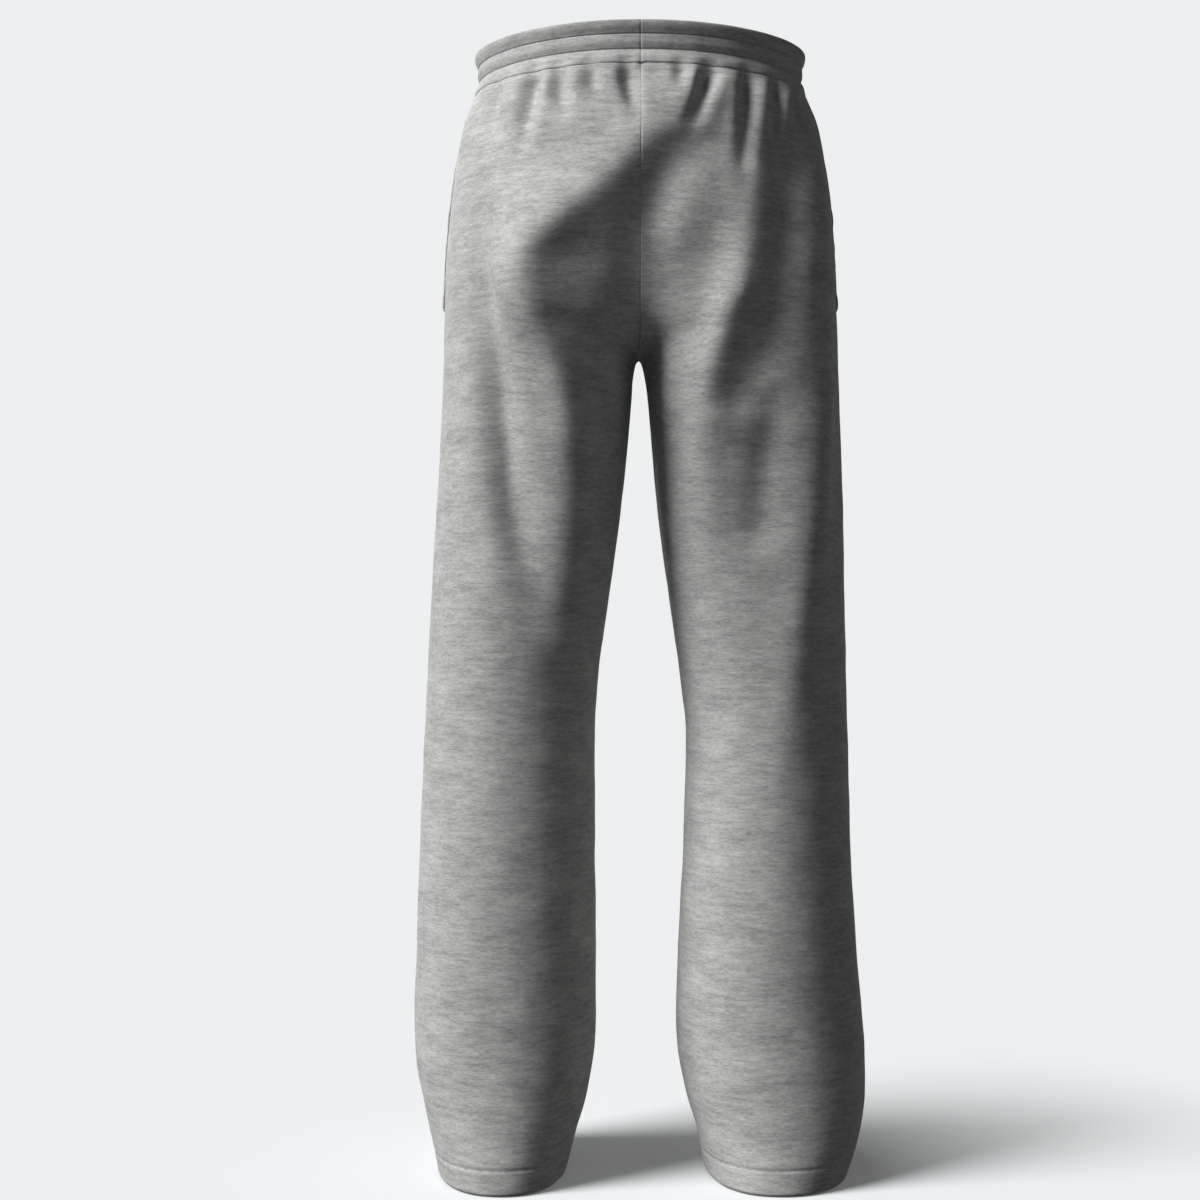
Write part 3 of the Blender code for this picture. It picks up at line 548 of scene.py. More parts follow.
def relief_at(half, face, row, along, below):
    """How far one row's points move out (+) or in (-)."""
    sign = 1.0 if half == "left" else -1.0
    height = row[:, 2]

    def distance(across):
        """From each point to a place across, along the row or past its inner edge."""
        across = np.asarray(across) * sign
        inside = np.interp(across, row[::-1, 0], along[::-1])
        return along - np.where(across < 0, along[-1] - across, inside)

    relief = np.zeros(len(along))
    for gather in GATHERS:
        if gather.face == face and below.min() < gather.length:
            run = np.clip(below / gather.length, 0, 1)
            spread = (distance(gather.across + gather.drift * run) / gather.width) ** 2
            bell = (1 - GATHER_SHOULDER * spread) * np.exp(-GATHER_FALL * spread)
            sink = GATHER_AT_SEAM + (1 - GATHER_AT_SEAM) * ease(below / GATHER_DEEPEST)
            relief -= gather.depth * sink * (1 - ease(run)) * bell
    for fold in FOLDS + CREASES:
        heights = [station.height for station in fold.stations]
        if fold.face == face and height.min() < max(heights) and height.max() > min(heights):
            across = smooth_value(heights, [station.across for station in fold.stations], height)
            lift = smooth_value(heights, [station.relief for station in fold.stations], height)
            lift = np.where((height > max(heights)) | (height < min(heights)), 0.0, lift)
            relief += lift * np.exp(-(distance(across) / fold.width) ** 2) * ease(along / SIDE_CALM)
    if face == "front":
        in_mouth = ease((MOUTH_TOP - height) / MOUTH_FADES[0]) * ease((height - MOUTH_LOW) / MOUTH_FADES[1])
        relief += MOUTH_LIP * in_mouth * np.exp(-(along / MOUTH_REACH) ** 2)
    return relief


# %% Rows to a smooth surface
CALM_ROWS = 26
CALM_TURNS = 110
CALM_EDGE = 0.020


def calm_rows(points, spread, stations):
    """Evens out the rows above and below the crotch, so that the seat runs into the legs without a ledge."""
    crotch = int(np.argmin(np.abs(stations - 1)))
    first, last = crotch - CALM_ROWS, crotch + CALM_ROWS + 1
    if first < 1:
        return
    fade = ease(2 - 2 * np.abs(np.arange(-CALM_ROWS, CALM_ROWS + 1)) / (CALM_ROWS + 1))
    to_edge = spread[first:last].max(axis=1, keepdims=True) - spread[first:last]
    share = (0.5 * fade[:, None] * ease(to_edge / CALM_EDGE))[:, :, None]
    for _ in range(CALM_TURNS):
        average = (points[first - 1:last - 1] + points[first + 1:last + 1]) / 2
        points[first:last] += share * (average - points[first:last])


def smooth_surface(half, stations):
    """Both panels of one half, back then front, before their folds, with the relief and the distance along."""
    points = np.zeros((len(stations), 2 * COLUMNS, 3))
    relief = np.zeros(points.shape[:2])
    spread = np.zeros(points.shape[:2])
    parts = {"back": slice(COLUMNS - 1, None, -1), "front": slice(COLUMNS, None)}
    tops = np.zeros(points.shape[:2])
    for k, station in enumerate(stations):
        for face, part in parts.items():
            curve, side_height, edge_height = row_curve(half, face, station)
            lengths = np.append(0.0, np.cumsum(np.linalg.norm(np.diff(curve, axis=0), axis=1)))
            along = spaced_columns(lengths[-1])
            swing = (1 - np.cos(math.pi * along / along[-1])) / 2
            points[k, part, 0] = np.interp(along, lengths, curve[:, 0])
            points[k, part, 1] = np.interp(along, lengths, curve[:, 1])
            points[k, part, 2] = side_height + (edge_height - side_height) * swing
            spread[k, part] = along
            tops[k, part] = SIDE_TOP + (CENTRE_SEAMS[face][0].height - SIDE_TOP) * swing
    for part in (slice(0, COLUMNS), slice(COLUMNS, 2 * COLUMNS)):
        calm_rows(points[:, part], spread[:, part], stations)
    for k in range(len(stations)):
        for face, part in parts.items():
            row = points[k, part]
            along = np.append(0.0, np.cumsum(np.linalg.norm(np.diff(row[:, :2], axis=0), axis=1)))
            relief[k, part] = relief_at(half, face, row, along, tops[k, part] - row[:, 2])
            spread[k, part] = along
    return points, relief, spread


def outward_normals(points, stations):
    """Unit normals of one half's surface, the same on both sides of each seam."""
    along = np.empty_like(points)
    along[:, 1:-1] = points[:, 2:] - points[:, :-2]
    along[:, 0] = points[:, 1] - points[:, 0]
    along[:, -1] = points[:, -1] - points[:, -2]
    leg = stations >= 1
    along[leg, 0] = points[leg, 1] - points[leg, -2]
    along[leg, -1] = along[leg, 0]
    normals = np.cross(along, np.gradient(points, axis=0))
    normals /= np.linalg.norm(normals, axis=2, keepdims=True)
    for first, second, rows in ((COLUMNS - 1, COLUMNS, stations >= 0), (0, -1, leg)):
        both = normals[rows, first] + normals[rows, second]
        normals[rows, first] = both
        normals[rows, second] = both
    for edge in (0, -1):
        normals[stations < TUCK_START, edge, 0] = 0.0
        normals[~leg, edge, 0] = np.minimum(normals[~leg, edge, 0], 0.0)
    return normals / np.linalg.norm(normals, axis=2, keepdims=True)


# %% [markdown]
# ## Sewn edges
#
# At a seam, both panels turn inwards, so the seam lies in a fine groove. The hem is turned up once and
# sewn with one row, which pulls it in a little and leaves faint ripples between the row and the fold.
# All this is under a millimetre, so it goes on last, over the folds, and only on the fine shells.

# %% Grooves, hem and unevenness
SEAM_SINK = 0.00025
SEAM_SHOULDER = 0.0018
WAIST_SINK = 0.0005
WAIST_SHOULDER = 0.004
HEM_ROW_SINK = 0.0007
HEM_ROW_WIDTH = 0.0016
HEM_FOLD_SINK = 0.0014
HEM_FOLD_HEIGHT = 0.0028
HEM_RIPPLE = 0.00008
RIPPLE_REACH = 0.009
TOP_LEVEL = 0.008  # over this height the panels' top edge stays level under the waistband
UNEVEN = ((34.0, 0.00050), (90.0, 0.00014))


def edge_relief(spread, below, height):
    """How far seams and the hem's row draw the cloth in, from the distances to them."""
    width = spread.max(axis=1, keepdims=True)
    to_seam = np.minimum(spread, width - spread)
    sink = SEAM_SINK * (1 - ease(to_seam / SEAM_SHOULDER)) ** 2
    sink += WAIST_SINK * (1 - ease(below / WAIST_SHOULDER))
    sink += HEM_ROW_SINK * np.exp(-((height - HEM_ROW) / HEM_ROW_WIDTH) ** 2)
    sink += HEM_FOLD_SINK * (1 - ease(height / HEM_FOLD_HEIGHT)) ** 2
    ripple = np.sin(spread * 760 + 2.1 * np.sin(spread * 95))  # uneven, about 8 mm from crest to crest
    return HEM_RIPPLE * ripple * np.exp(-((height - HEM_ROW) / RIPPLE_REACH) ** 2) - sink


def uneven(points):
    """Small unevenness of hanging jersey, the same at each run."""
    flat = points.reshape(-1, 3)
    lift = np.zeros(len(flat))
    for scale, depth in UNEVEN:
        lift += depth * np.array([noise.noise(Vector(point) * scale) for point in flat])
    return lift.reshape(points.shape[:2])


def dressed_half(half):
    """Outer points of one half's two panels, with their normals and their distances along and down."""
    stations = row_stations()
    base, relief, spread = smooth_surface(half, stations)
    outer = base + outward_normals(base, stations) * relief[:, :, None]
    below = base[:1, :, 2] - base[:, :, 2]
    outer[:, :, 2] = base[:, :, 2] + (outer[:, :, 2] - base[:, :, 2]) * ease(below / TOP_LEVEL)
    body = stations <= 1
    for edge in (0, -1):
        outer[body, edge, 0] = EDGE
    outer[:, :, 0] = np.maximum(outer[:, :, 0], EDGE)
    height = outer[:, :, 2]
    fine = uneven(outer)
    for part in (slice(0, COLUMNS), slice(COLUMNS, 2 * COLUMNS)):
        fine[:, part] += edge_relief(spread[:, part], height[:1, part] - height[:, part], height[:, part])
    normals = outward_normals(outer, stations)
    moved = normals * fine[:, :, None]
    moved[:, :, 2] *= ease(below / TOP_LEVEL)
    outer = outer + moved
    outer[:, :, 0] = np.maximum(outer[:, :, 0], EDGE)
    steps = np.linalg.norm(np.diff(outer, axis=0), axis=2).mean(axis=1)
    down = np.append(0.0, np.cumsum(steps))
    return outer, normals, spread, down


MIRROR = {"left": np.array([1.0, 1.0, 1.0]), "right": np.array([-1.0, 1.0, 1.0])}


def place(points, half):
    """Points of the +X half moved to their own half, with heights from the origin."""
    placed = points * MIRROR[half]
    placed[..., 2] -= ORIGIN_HEIGHT
    return placed


dressed = {half: dressed_half(half) for half in HALVES}
for half in HALVES:
    print(half, "leg, fine points:", dressed[half][0].shape[:2])

# %% [markdown]
# ## Marl jersey
#
# Marl, or heather, yarn is spun from fibres of several greys, so no stitch has quite the colour of the
# next. Knitted up, the greys follow the yarn: short streaks, thin and level, that run round the leg.
# An image could be scanned from cloth, but noise stretched along the cloth's own coordinates gives it at
# any size. Each piece's UV map is in metres: round the leg in one direction and by height in the other,
# so the streaks run level, and bow a little where a fold lifts the cloth.

# %% The marl material
def add_node(tree, kind, place_at, **values):
    """A node with its inputs set by name."""
    node = tree.nodes.new(kind)
    node.location = place_at
    for name, value in values.items():
        node.inputs[name.replace("_", " ")].default_value = value
    return node


def stretched_noise(tree, coords, scale, detail, roughness, row):
    """Noise on the cloth's coordinates, scale giving how many blotches a metre holds along and down."""
    mapping = add_node(tree, "ShaderNodeMapping", (-1100, row), Scale=(scale[0], scale[1], 1))
    tree.links.new(coords, mapping.inputs["Vector"])
    texture = add_node(tree, "ShaderNodeTexNoise", (-900, row), Scale=1.0, Detail=detail, Roughness=roughness)
    texture.noise_dimensions = "2D"
    tree.links.new(mapping.outputs[0], texture.inputs["Vector"])
    return texture.outputs[0]


def weighted(tree, value, low, high, row):
    """A noise value stretched to run from low to high over its middle range."""
    node = add_node(tree, "ShaderNodeMapRange", (-650, row), From_Min=0.28, From_Max=0.72)
    node.inputs["To Min"].default_value = low
    node.inputs["To Max"].default_value = high
    tree.links.new(value, node.inputs["Value"])
    return node.outputs[0]


def multiplied(tree, first, second, row):
    """Two values multiplied."""
    node = tree.nodes.new("ShaderNodeMath")
    node.operation = "MULTIPLY"
    node.location = (-400, row)
    tree.links.new(first, node.inputs[0])
    tree.links.new(second, node.inputs[1])
    return node.outputs[0]


def marl_jersey(name, dark, light):
    """A jersey material whose colour runs from dark to light in streaks along the knit."""
    material = bpy.data.materials.new(name)
    material.use_nodes = True
    tree = material.node_tree
    shader = tree.nodes["Principled BSDF"]
    shader.inputs["Roughness"].default_value = 0.92
    shader.inputs["Specular IOR Level"].default_value = 0.18
    shader.inputs["Sheen Weight"].default_value = 0.10
    shader.inputs["Sheen Roughness"].default_value = 0.45
    uv = tree.nodes.new("ShaderNodeUVMap")
    uv.uv_map = "cloth"
    uv.location = (-1400, 0)
    coords = uv.outputs[0]
    clouds = weighted(tree, stretched_noise(tree, coords, (16, 44), 3.0, 0.55, 500), 0.94, 1.06, 500)
    streaks = weighted(tree, stretched_noise(tree, coords, (46, 260), 4.0, 0.60, 250), 0.91, 1.08, 250)
    yarn = weighted(tree, stretched_noise(tree, coords, (190, 820), 2.0, 0.65, 0), 0.90, 1.075, 0)
    tone = multiplied(tree, multiplied(tree, clouds, streaks, 400), yarn, 200)
    ramp = tree.nodes.new("ShaderNodeValToRGB")
    ramp.location = (-200, 250)
    ramp.color_ramp.elements[0].position = 0.55
    ramp.color_ramp.elements[0].color = (*dark, 1)
    ramp.color_ramp.elements[1].position = 1.0
    ramp.color_ramp.elements[1].color = (*light, 1)
    half_tone = tree.nodes.new("ShaderNodeMath")
    half_tone.operation = "MULTIPLY"
    half_tone.inputs[1].default_value = 0.72
    half_tone.location = (-300, 300)
    tree.links.new(tone, half_tone.inputs[0])
    tree.links.new(half_tone.outputs[0], ramp.inputs[0])
    tree.links.new(ramp.outputs[0], shader.inputs["Base Color"])
    knit = stretched_noise(tree, coords, (560, 1500), 2.0, 0.55, -300)
    bump = add_node(tree, "ShaderNodeBump", (-200, -300), Strength=0.30, Distance=0.0004)
    tree.links.new(knit, bump.inputs["Height"])
    tree.links.new(bump.outputs[0], shader.inputs["Normal"])
    return material


body_jersey = marl_jersey("marl_jersey", (0.19, 0.19, 0.187), (0.66, 0.66, 0.648))
print("material made:", body_jersey.name)

# %% [markdown]
# ## The four leg panels
#
# Each panel is one grid: its x runs along the rows and its y down the leg. A grid operator makes the
# faces, and each of its vertices is then set on the surface. Solidify adds the inner side, two layers
# thick in the turned-up hem, where a vertex group gives the wall's share of the full thickness.

# %% Cloth from a grid
def cloth_grid(points, coords, inside_out=False, rolled=False):
    """A mesh grid on the points, with true-size cloth coordinates as its UV map.

    A rolled grid closes on itself across its rows, and its two ends are filled.
    """
    rows, columns = points.shape[:2]
    bm = bmesh.new()
    bmesh.ops.create_grid(bm, x_segments=columns - 1, y_segments=rows - 1, size=0.5)
    for vertex, point in zip(bm.verts, points.reshape(-1, 3)):
        vertex.co = point
    layer = bm.loops.layers.uv.new("cloth")
    flat = coords.reshape(-1, 2)
    for face in bm.faces:
        for corner in face.loops:
            corner[layer].uv = flat[corner.vert.index]
    if inside_out:
        bmesh.ops.reverse_faces(bm, faces=bm.faces)
    if rolled:
        bmesh.ops.remove_doubles(bm, verts=bm.verts, dist=1e-6)
        bmesh.ops.holes_fill(bm, edges=[edge for edge in bm.edges if edge.is_boundary], sides=0)
        bmesh.ops.recalc_face_normals(bm, faces=bm.faces)
    mesh = bpy.data.meshes.new("cloth")
    bm.to_mesh(mesh)
    bm.free()
    mesh.shade_smooth()
    return mesh


def finish_piece(name, mesh, material, node):
    """The piece as an object that rides on the body and stands for its solid."""
    mesh.name = name
    mesh.materials.append(material)
    piece = bpy.data.objects.new(name, mesh)
    bpy.context.scene.collection.objects.link(piece)
    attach(piece, "root")
    if node:
        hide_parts(node)
    return piece


def add_wall(piece, thickness, shares=None):
    """Solidify inwards; shares gives each vertex's part of the thickness."""
    wall = piece.modifiers.new("wall", "SOLIDIFY")
    wall.thickness = thickness
    wall.offset = -1
    if shares is not None:
        group = piece.vertex_groups.new(name="wall_share")
        for share in np.unique(shares):
            group.add(np.flatnonzero(shares == share).tolist(), float(share), "REPLACE")
        wall.vertex_group = "wall_share"


# %% Make the panels
BOWED = 0.15  # how far a fold bows the knit's level lines, as a share of its relief
CLOTH_STEP = (1.3, 0.37)  # from panel to panel along the cloth, so no two show the same streaks
bowed = {half: smooth_surface(half, row_stations())[1] for half in HALVES}
panels = {}
for number, (face, half) in enumerate((face, half) for face in FACES for half in HALVES):
    outer, normals, spread, down = dressed[half]
    part = slice(0, COLUMNS) if face == "back" else slice(COLUMNS, 2 * COLUMNS)
    points = place(outer[:, part], half)
    along = spread[:, part] - spread[:, part].max(axis=1, keepdims=True) / 2
    level = points[:, :, 2] + BOWED * bowed[half][:, part]
    coords = np.stack([along + CLOTH_STEP[0] * number, level + CLOTH_STEP[1] * number], axis=2)
    name = face + "_" + half
    mesh = cloth_grid(points, coords, inside_out=half == "right")
    panels[name] = finish_piece(name + "_cloth", mesh, body_jersey, name)
    hem = (points[:, :, 2].ravel() + ORIGIN_HEIGHT) < HEM_DEPTH
    add_wall(panels[name], HEM_WALL, np.where(hem, 1.0, round(WALL / HEM_WALL, 3)))

# %% [markdown]
# ## The waistband
#
# The waistband is one strip, folded over a wide elastic and sewn through in two rows, so three soft
# channels run round the waist. Its section could be extruded round a curve, but the waist isn't round
# and its seam is gathered. So it is a grid again: across it runs once round the section, up the outer
# face, over the fold and down the inner one, and along it follows the panels' top edge. The grid is
# rolled shut, and its two ends meet at the centre back.

# %% The waistband's section
BandRow = namedtuple("BandRow", "rise outer wall")
BAND_ROWS = (
    BandRow(0.0000, 0.0002, 0.0026),
    BandRow(0.0060, -0.0012, 0.0036),
    BandRow(0.0125, -0.0044, 0.0024),
    BandRow(0.0190, -0.0028, 0.0036),
    BandRow(0.0260, -0.0031, 0.0024),
    BandRow(0.0325, -0.0007, 0.0036),
    BandRow(0.0365, 0.0000, 0.0034),
    BandRow(0.0385, -0.0014, 0.0014),
)
BAND_GATHER_FADE = 0.012
BAND_GATHER_KEPT = 0.10
BAND_SWAY = 0.15  # how much the gathers turn its outward way
BAND_BRIDGE = 0.007  # on both sides of the centre seams the elastic runs straight over their groove
SEWN_ROWS = (0.0125, 0.0260)
SEWN_SINK = 0.0008
SEWN_WIDTH = 0.0006
FOLD_RADIUS = 0.0017
FOLD_START = 0.0368
BAND_CLOTH = (7.1, 0.9)  # where its strip lies on the cloth
BAND_END_SINK = 0.00035
BAND_END_SHOULDER = 0.0014
CHANNEL_PUCKER = 0.00009
PUCKER_FADE = 0.014  # the channels lie flat beside the centre back seam


def groove(rise):
    """How far the sewn rows draw the waistband in at a height on it."""
    return SEWN_SINK * sum(np.exp(-((rise - row) / SEWN_WIDTH) ** 2) for row in SEWN_ROWS)


def band_section():
    """Rise, offset and side (1 outer, -1 inner) of each point once round the waistband's section."""
    climb = np.unique(np.concatenate([np.linspace(0, FOLD_START, 22)]
                                     + [row + SEWN_WIDTH * np.linspace(-2, 2, 7) for row in SEWN_ROWS]))
    turn = np.linspace(0, math.pi, 9)[1:-1]
    outer = [(rise, float(from_rise("outer", rise) - groove(rise)), 1) for rise in climb]
    lip = [(-0.0003, -0.0022, -1), (-0.0012, -0.0016, 0), (-0.0013, -0.0007, 0), (-0.0008, -0.0001, 0)]
    over = [(FOLD_START + FOLD_RADIUS * math.sin(angle), FOLD_RADIUS * (math.cos(angle) - 1), 0)
            for angle in turn]
    inner = [(rise, float(from_rise("outer", rise) - from_rise("wall", rise) + groove(rise) / 2), -1)
             for rise in climb[::-1]]
    return outer + over + inner + lip + outer[:1]


def from_rise(column, rise):
    """One column of the waistband's table at a height on it."""
    return smooth_value([row.rise for row in BAND_ROWS], [getattr(row, column) for row in BAND_ROWS], rise)


print("points once round the section:", len(band_section()))


# %% The line that it is sewn to
def band_line(half):
    """The panels' top edge of one half before its gathers, the level way out of it, and their relief."""
    stations = row_stations()[:WAIST_ROWS]
    base, relief, _ = smooth_surface(half, stations)
    normals = outward_normals(base + outward_normals(base, stations) * relief[:, :, None], stations)
    keep = [j for j in range(2 * COLUMNS) if j != COLUMNS]
    facing = (outward_normals(base, stations)[0][keep] + BAND_SWAY * normals[0][keep]) * MIRROR[half]
    facing[:, 2] = 0.0
    facing /= np.linalg.norm(facing, axis=1, keepdims=True)
    return place(base[0][keep], half), facing, relief[0][keep]


lines = {half: band_line(half) for half in HALVES}
waist_line = np.vstack([lines["left"][0][:-1], lines["right"][0][::-1]])
waist_facing = np.vstack([lines["left"][1][:-1], lines["right"][1][::-1]])
waist_relief = np.append(lines["left"][2][:-1], lines["right"][2][::-1])
waist_line[len(lines["left"][0]) - 1, 0] = 0.0
waist_along = np.append(0.0, np.cumsum(np.linalg.norm(np.diff(waist_line, axis=0), axis=1)))
for seam in (waist_along[0], waist_along[len(lines["left"][0]) - 1], waist_along[-1]):
    near = np.abs(waist_along - seam) < BAND_BRIDGE
    outward = np.sign(waist_line[near, 1])
    waist_line[near, 1] = outward * np.abs(waist_line[near, 1]).max()
    waist_facing[near] = outward[:, None] * np.array([0.0, 1.0, 0.0])
print("waist, round the seam:", round(float(waist_along[-1]), 3), "m")


# %% Make the waistband
def channel_pucker(along, rise):
    """Small uneven ripples where the elastic draws a channel in, none on its sewn rows."""
    edges = (0.0,) + SEWN_ROWS + (FOLD_START,)
    channel = min(int(np.searchsorted(edges, rise, side="right")) - 1, 2)
    low, high = edges[channel], edges[channel + 1]
    body = math.sin(math.pi * min(max((rise - low) / (high - low), 0.0), 1.0))
    wave = np.sin(along * 520 + 1.7 * channel + 2.3 * np.sin(along * 71 + channel))
    flat_at_seam = ease(np.minimum(along, along[-1] - along) / PUCKER_FADE)
    return CHANNEL_PUCKER * flat_at_seam * body * wave * (0.6 + 0.4 * np.sin(along * 29 + 2 * channel))


def on_band(rise, offset):
    """Points of the waistband round the waist, at a rise and an offset from the seam line."""
    kept = 1 - (1 - BAND_GATHER_KEPT) * float(ease(rise / BAND_GATHER_FADE))
    to_end = np.minimum(waist_along, waist_along[-1] - waist_along)
    groove_at_end = BAND_END_SINK * (1 - ease(to_end / BAND_END_SHOULDER))
    stand = offset + waist_relief * kept + channel_pucker(waist_along, rise) - groove_at_end
    return waist_line + waist_facing * stand[:, None] + np.array([0.0, 0.0, SEAM_GAP + rise])


section = band_section()
band_points = np.array([on_band(rise, offset) for rise, offset, _ in section])
band_points[:, 0, 0] = EDGE
band_points[:, -1, 0] = -EDGE
across = np.append(0.0, np.cumsum([math.dist(a[:2], b[:2]) for a, b in zip(section, section[1:])]))
band_cloth = (waist_along[None, :] + BAND_CLOTH[0], across[:, None] + BAND_CLOTH[1])
band_coords = np.stack(np.broadcast_arrays(*band_cloth), axis=2)
band_jersey = marl_jersey("marl_jersey_waistband", (0.19, 0.19, 0.187), (0.66, 0.66, 0.648))
waistband = finish_piece("waistband_cloth", cloth_grid(band_points, band_coords, rolled=True), band_jersey,
                         "waistband")
print("waistband faces:", len(waistband.data.polygons))

# %% [markdown]
# ## Stitches
#
# Thread shows as a row of short, plump dashes that lie in the groove that they make. A stitch could be
# painted as a stripe, but close by only a real one catches light. Each is a tiny six-sided ball, drawn
# out along the row by its matrix. All stitches of a row are one mesh.

# %% Thread and rows of stitches
STITCH_PITCH = 0.0034
STITCH_LENGTH = 0.0028
THREAD_RADIUS = 0.00028


def thread_material(name, colour):
    """Spun thread: matt, with a fine uneven twist."""
    material = bpy.data.materials.new(name)
    material.use_nodes = True
    tree = material.node_tree
    shader = tree.nodes["Principled BSDF"]
    shader.inputs["Roughness"].default_value = 0.65
    shader.inputs["Sheen Weight"].default_value = 0.15
    where = tree.nodes.new("ShaderNodeTexCoord")
    twist = add_node(tree, "ShaderNodeTexNoise", (-500, 0), Scale=2600.0, Detail=1.0)
    tree.links.new(where.outputs["Object"], twist.inputs["Vector"])
    ramp = tree.nodes.new("ShaderNodeValToRGB")
    ramp.color_ramp.elements[0].color = (*[0.75 * part for part in colour], 1)
    ramp.color_ramp.elements[1].color = (*[1.2 * part for part in colour], 1)
    tree.links.new(twist.outputs[0], ramp.inputs[0])
    tree.links.new(ramp.outputs[0], shader.inputs["Base Color"])
    return material


def spaced(path, facing, pitch):
    """Places every pitch along a path, with the path's direction and the way out there."""
    lengths = np.append(0.0, np.cumsum(np.linalg.norm(np.diff(path, axis=0), axis=1)))
    at = np.arange(pitch / 2, lengths[-1], pitch)
    centres, ways = [np.stack([np.interp(at, lengths, values[:, axis]) for axis in range(3)], axis=1)
                     for values in (path, facing)]
    directions = np.gradient(centres, axis=0)
    return centres, directions, ways


def stitch_matrix(centre, direction, way, length):
    """Turns and stretches a unit ball into a stitch that lies along the direction."""
    along = Vector(direction).normalized()
    up = (Vector(way) - along * Vector(way).dot(along)).normalized()
    turn = Matrix((up.cross(along), up, along)).transposed().to_4x4()
    return Matrix.Translation(centre) @ turn @ Matrix.Diagonal((THREAD_RADIUS, THREAD_RADIUS, length / 2, 1))


def add_stitches(name, rows, material, pitch=STITCH_PITCH, length=STITCH_LENGTH):
    """One mesh of stitches along one or more rows, each a path with its way out, made in lots of 40."""
    matrices = [stitch_matrix(centre, direction, way, length)
                for path, facing in rows for centre, direction, way in zip(*spaced(path, facing, pitch))]
    mesh = bpy.data.meshes.new(name)
    whole = bmesh.new()
    for first in range(0, len(matrices), 40):
        few = bmesh.new()
        for matrix in matrices[first:first + 40]:
            bmesh.ops.create_uvsphere(few, u_segments=6, v_segments=4, radius=1.0, matrix=matrix)
        few.to_mesh(mesh)
        few.free()
        whole.from_mesh(mesh)
    whole.to_mesh(mesh)
    whole.free()
    mesh.shade_smooth()
    print(name, len(matrices), "stitches")
    return finish_piece(name, mesh, material, None)


thread = thread_material("grey_thread", (0.30, 0.30, 0.295))

# %% Sew the waistband and the hems
band_rows = []
for row in SEWN_ROWS:
    shown = on_band(row, float(from_rise("outer", row)) - SEWN_SINK + 0.0001)
    hidden = on_band(row, float(from_rise("outer", row) - from_rise("wall", row)) + SEWN_SINK / 2 - 0.0001)
    band_rows += [(shown[2:-2], waist_facing[2:-2]), (hidden[2:-2], -waist_facing[2:-2])]
band_stitches = add_stitches("waistband_stitches", band_rows, thread)

for half in HALVES:
    outer, normals, _, _ = dressed[half]
    row = int(np.argmin(np.abs(row_stations() - (2 - HEM_ROW / CROTCH_HEIGHT))))
    for face, part in (("back", slice(1, COLUMNS - 1)), ("front", slice(COLUMNS + 1, 2 * COLUMNS - 1))):
        path = place(outer[row, part] + normals[row, part] * 0.0001, half)
        add_stitches("hem_stitches_" + face + "_" + half,
                                                       [(path, normals[row, part] * MIRROR[half])], thread)

# %% [markdown]
# ## Side pockets
#
# The pockets open in the side seams. A row of stitches holds the turned front edge of each mouth, and a
# short dense bar locks its two ends. Behind the mouth hangs a flat bag of thin cotton jersey, rounded at
# the bottom. It shows only from inside, so it is made plainly, without the row that would close it near its edge.

# %% Mouth stitches
MOUTH_ROW = 0.0065


def along_row(half, row, distance):
    """A point of the front panel on a row, at a distance from the side seam, with its way out."""
    outer, normals, spread, _ = dressed[half]
    part = slice(COLUMNS, 2 * COLUMNS)
    return [np.array([np.interp(distance, spread[row, part], values[row, part, axis]) for axis in range(3)])
            for values in (outer, normals)]


for half in HALVES:
    heights = dressed[half][0][:, COLUMNS, 2]
    rows = [k for k in range(len(heights)) if MOUTH_LOW < heights[k] < MOUTH_TOP]
    found = [along_row(half, k, MOUTH_ROW) for k in rows]
    path = np.array([place(point + way * 0.0001, half) for point, way in found])
    ways = np.array([way * MIRROR[half] for _, way in found])
    bars = []
    for k in (rows[0], rows[-1]):
        ends = [along_row(half, k, distance) for distance in np.linspace(0.001, 0.0095, 6)]
        bars.append((np.array([place(point + way * 0.0002, half) for point, way in ends]),
                     np.array([way * MIRROR[half] for _, way in ends])))
    add_stitches("pocket_stitches_" + half, [(path, ways)], thread)
    add_stitches("pocket_bars_" + half, bars, thread, 0.0006, 0.0013)

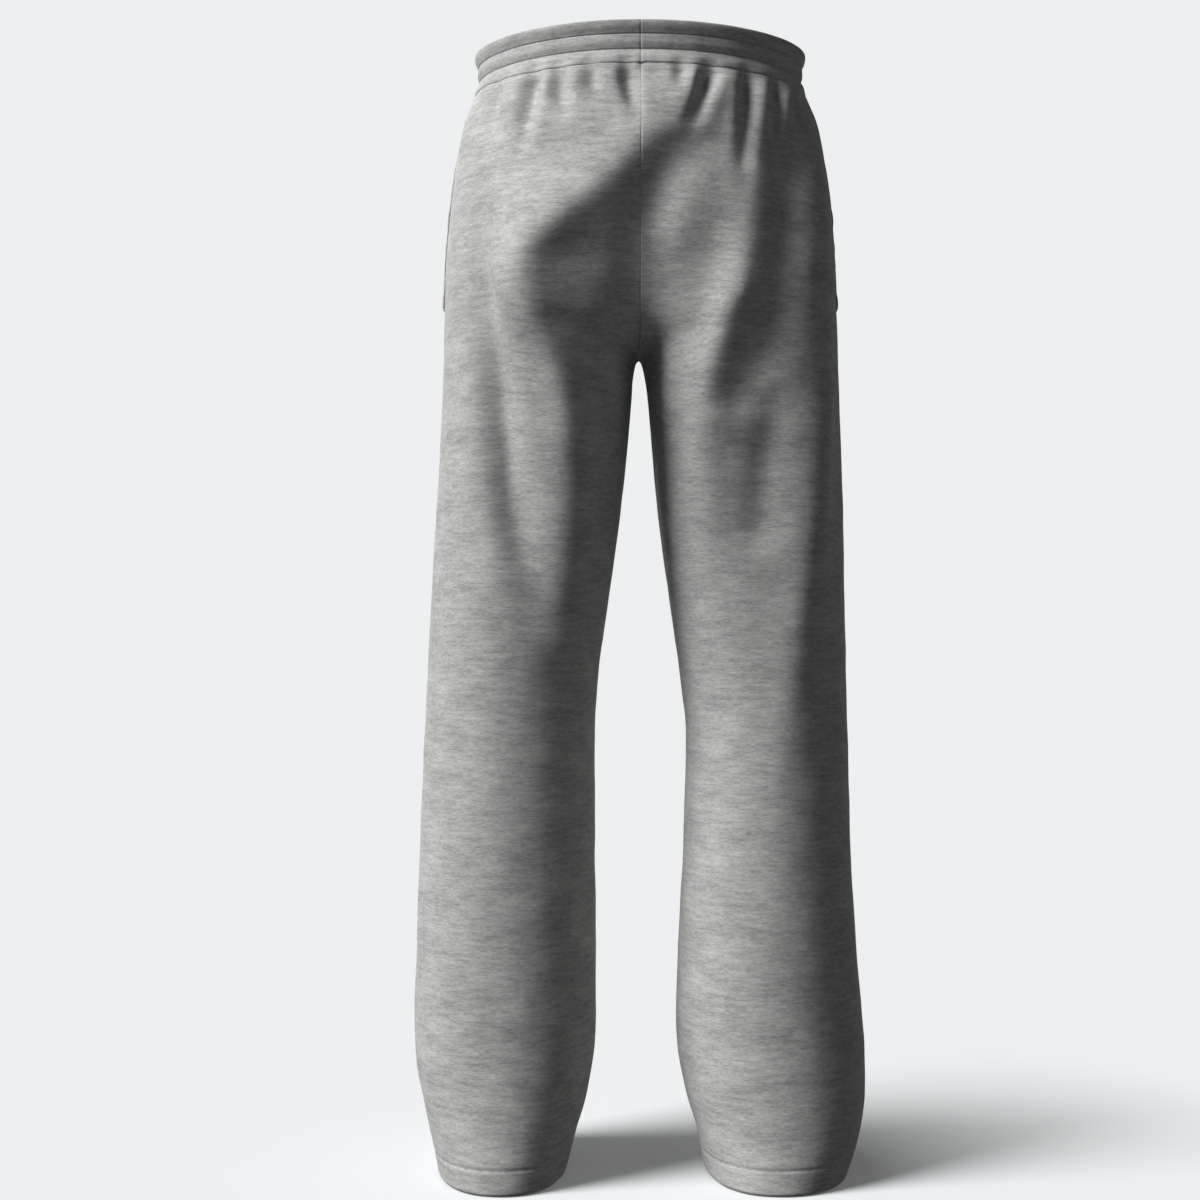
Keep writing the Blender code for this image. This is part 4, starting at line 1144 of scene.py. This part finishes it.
# %% Pocket bags
BAG_GAP = 0.0006
BAG_WALL = 0.0014
BAG_CLOTH = 11.0  # where its cloth starts
BAG_COLUMNS = 40
BAG_ROUNDING = (0.62, 0.80)  # from this share of its length its bottom narrows, by this share
BAG_STATIONS = (0.118, 1.113)
BAG_SPAN = (0.048, 0.476)  # of the front panel's width, from the side seam
bag_jersey = marl_jersey("pocketing_jersey", (0.20, 0.20, 0.205), (0.36, 0.36, 0.365))
bags = {}
for half in HALVES:
    outer, normals, spread, down = dressed[half]
    stations = row_stations()
    rows = np.flatnonzero((stations >= BAG_STATIONS[0]) & (stations <= BAG_STATIONS[1]))
    reach = np.linspace(0, 1, len(rows))
    start, narrowing = BAG_ROUNDING
    narrowed = np.sqrt(1 - narrowing * np.clip((reach - start) / (1 - start), 0, 1) ** 2)
    grid = np.zeros((len(rows), BAG_COLUMNS, 3))
    facing = np.zeros_like(grid)
    coords = np.zeros((len(rows), BAG_COLUMNS, 2))
    for k, row in enumerate(rows):
        width = spread[row, COLUMNS:].max()
        share = BAG_SPAN[0] + (BAG_SPAN[1] - BAG_SPAN[0]) * np.linspace(0, 1, BAG_COLUMNS) * narrowed[k]
        for axis in range(3):
            grid[k, :, axis] = np.interp(share * width, spread[row, COLUMNS:], outer[row, COLUMNS:, axis])
            facing[k, :, axis] = np.interp(share * width, spread[row, COLUMNS:], normals[row, COLUMNS:, axis])
        coords[k, :, 0], coords[k, :, 1] = share * width + BAG_CLOTH, -down[row]
    grid -= facing * (WALL + BAG_GAP)
    mesh = cloth_grid(place(grid, half), coords, inside_out=half == "right")
    name = "pocket_bag_" + half
    bags[half] = finish_piece(name + "_cloth", mesh, bag_jersey, name)
    add_wall(bags[half], BAG_WALL)

# %% [markdown]
# ## The pieces of cloth
#
# The panels' names are split into their face and half, and the pieces of cloth are counted. A panel's
# cut is a long shape inside a rectangle, a little wider than it hangs, because the waist is gathered.

for name, piece in panels.items():
    face, half = name.split("_")
print("sheets declared:", len(panels) + 1 + len(bags))
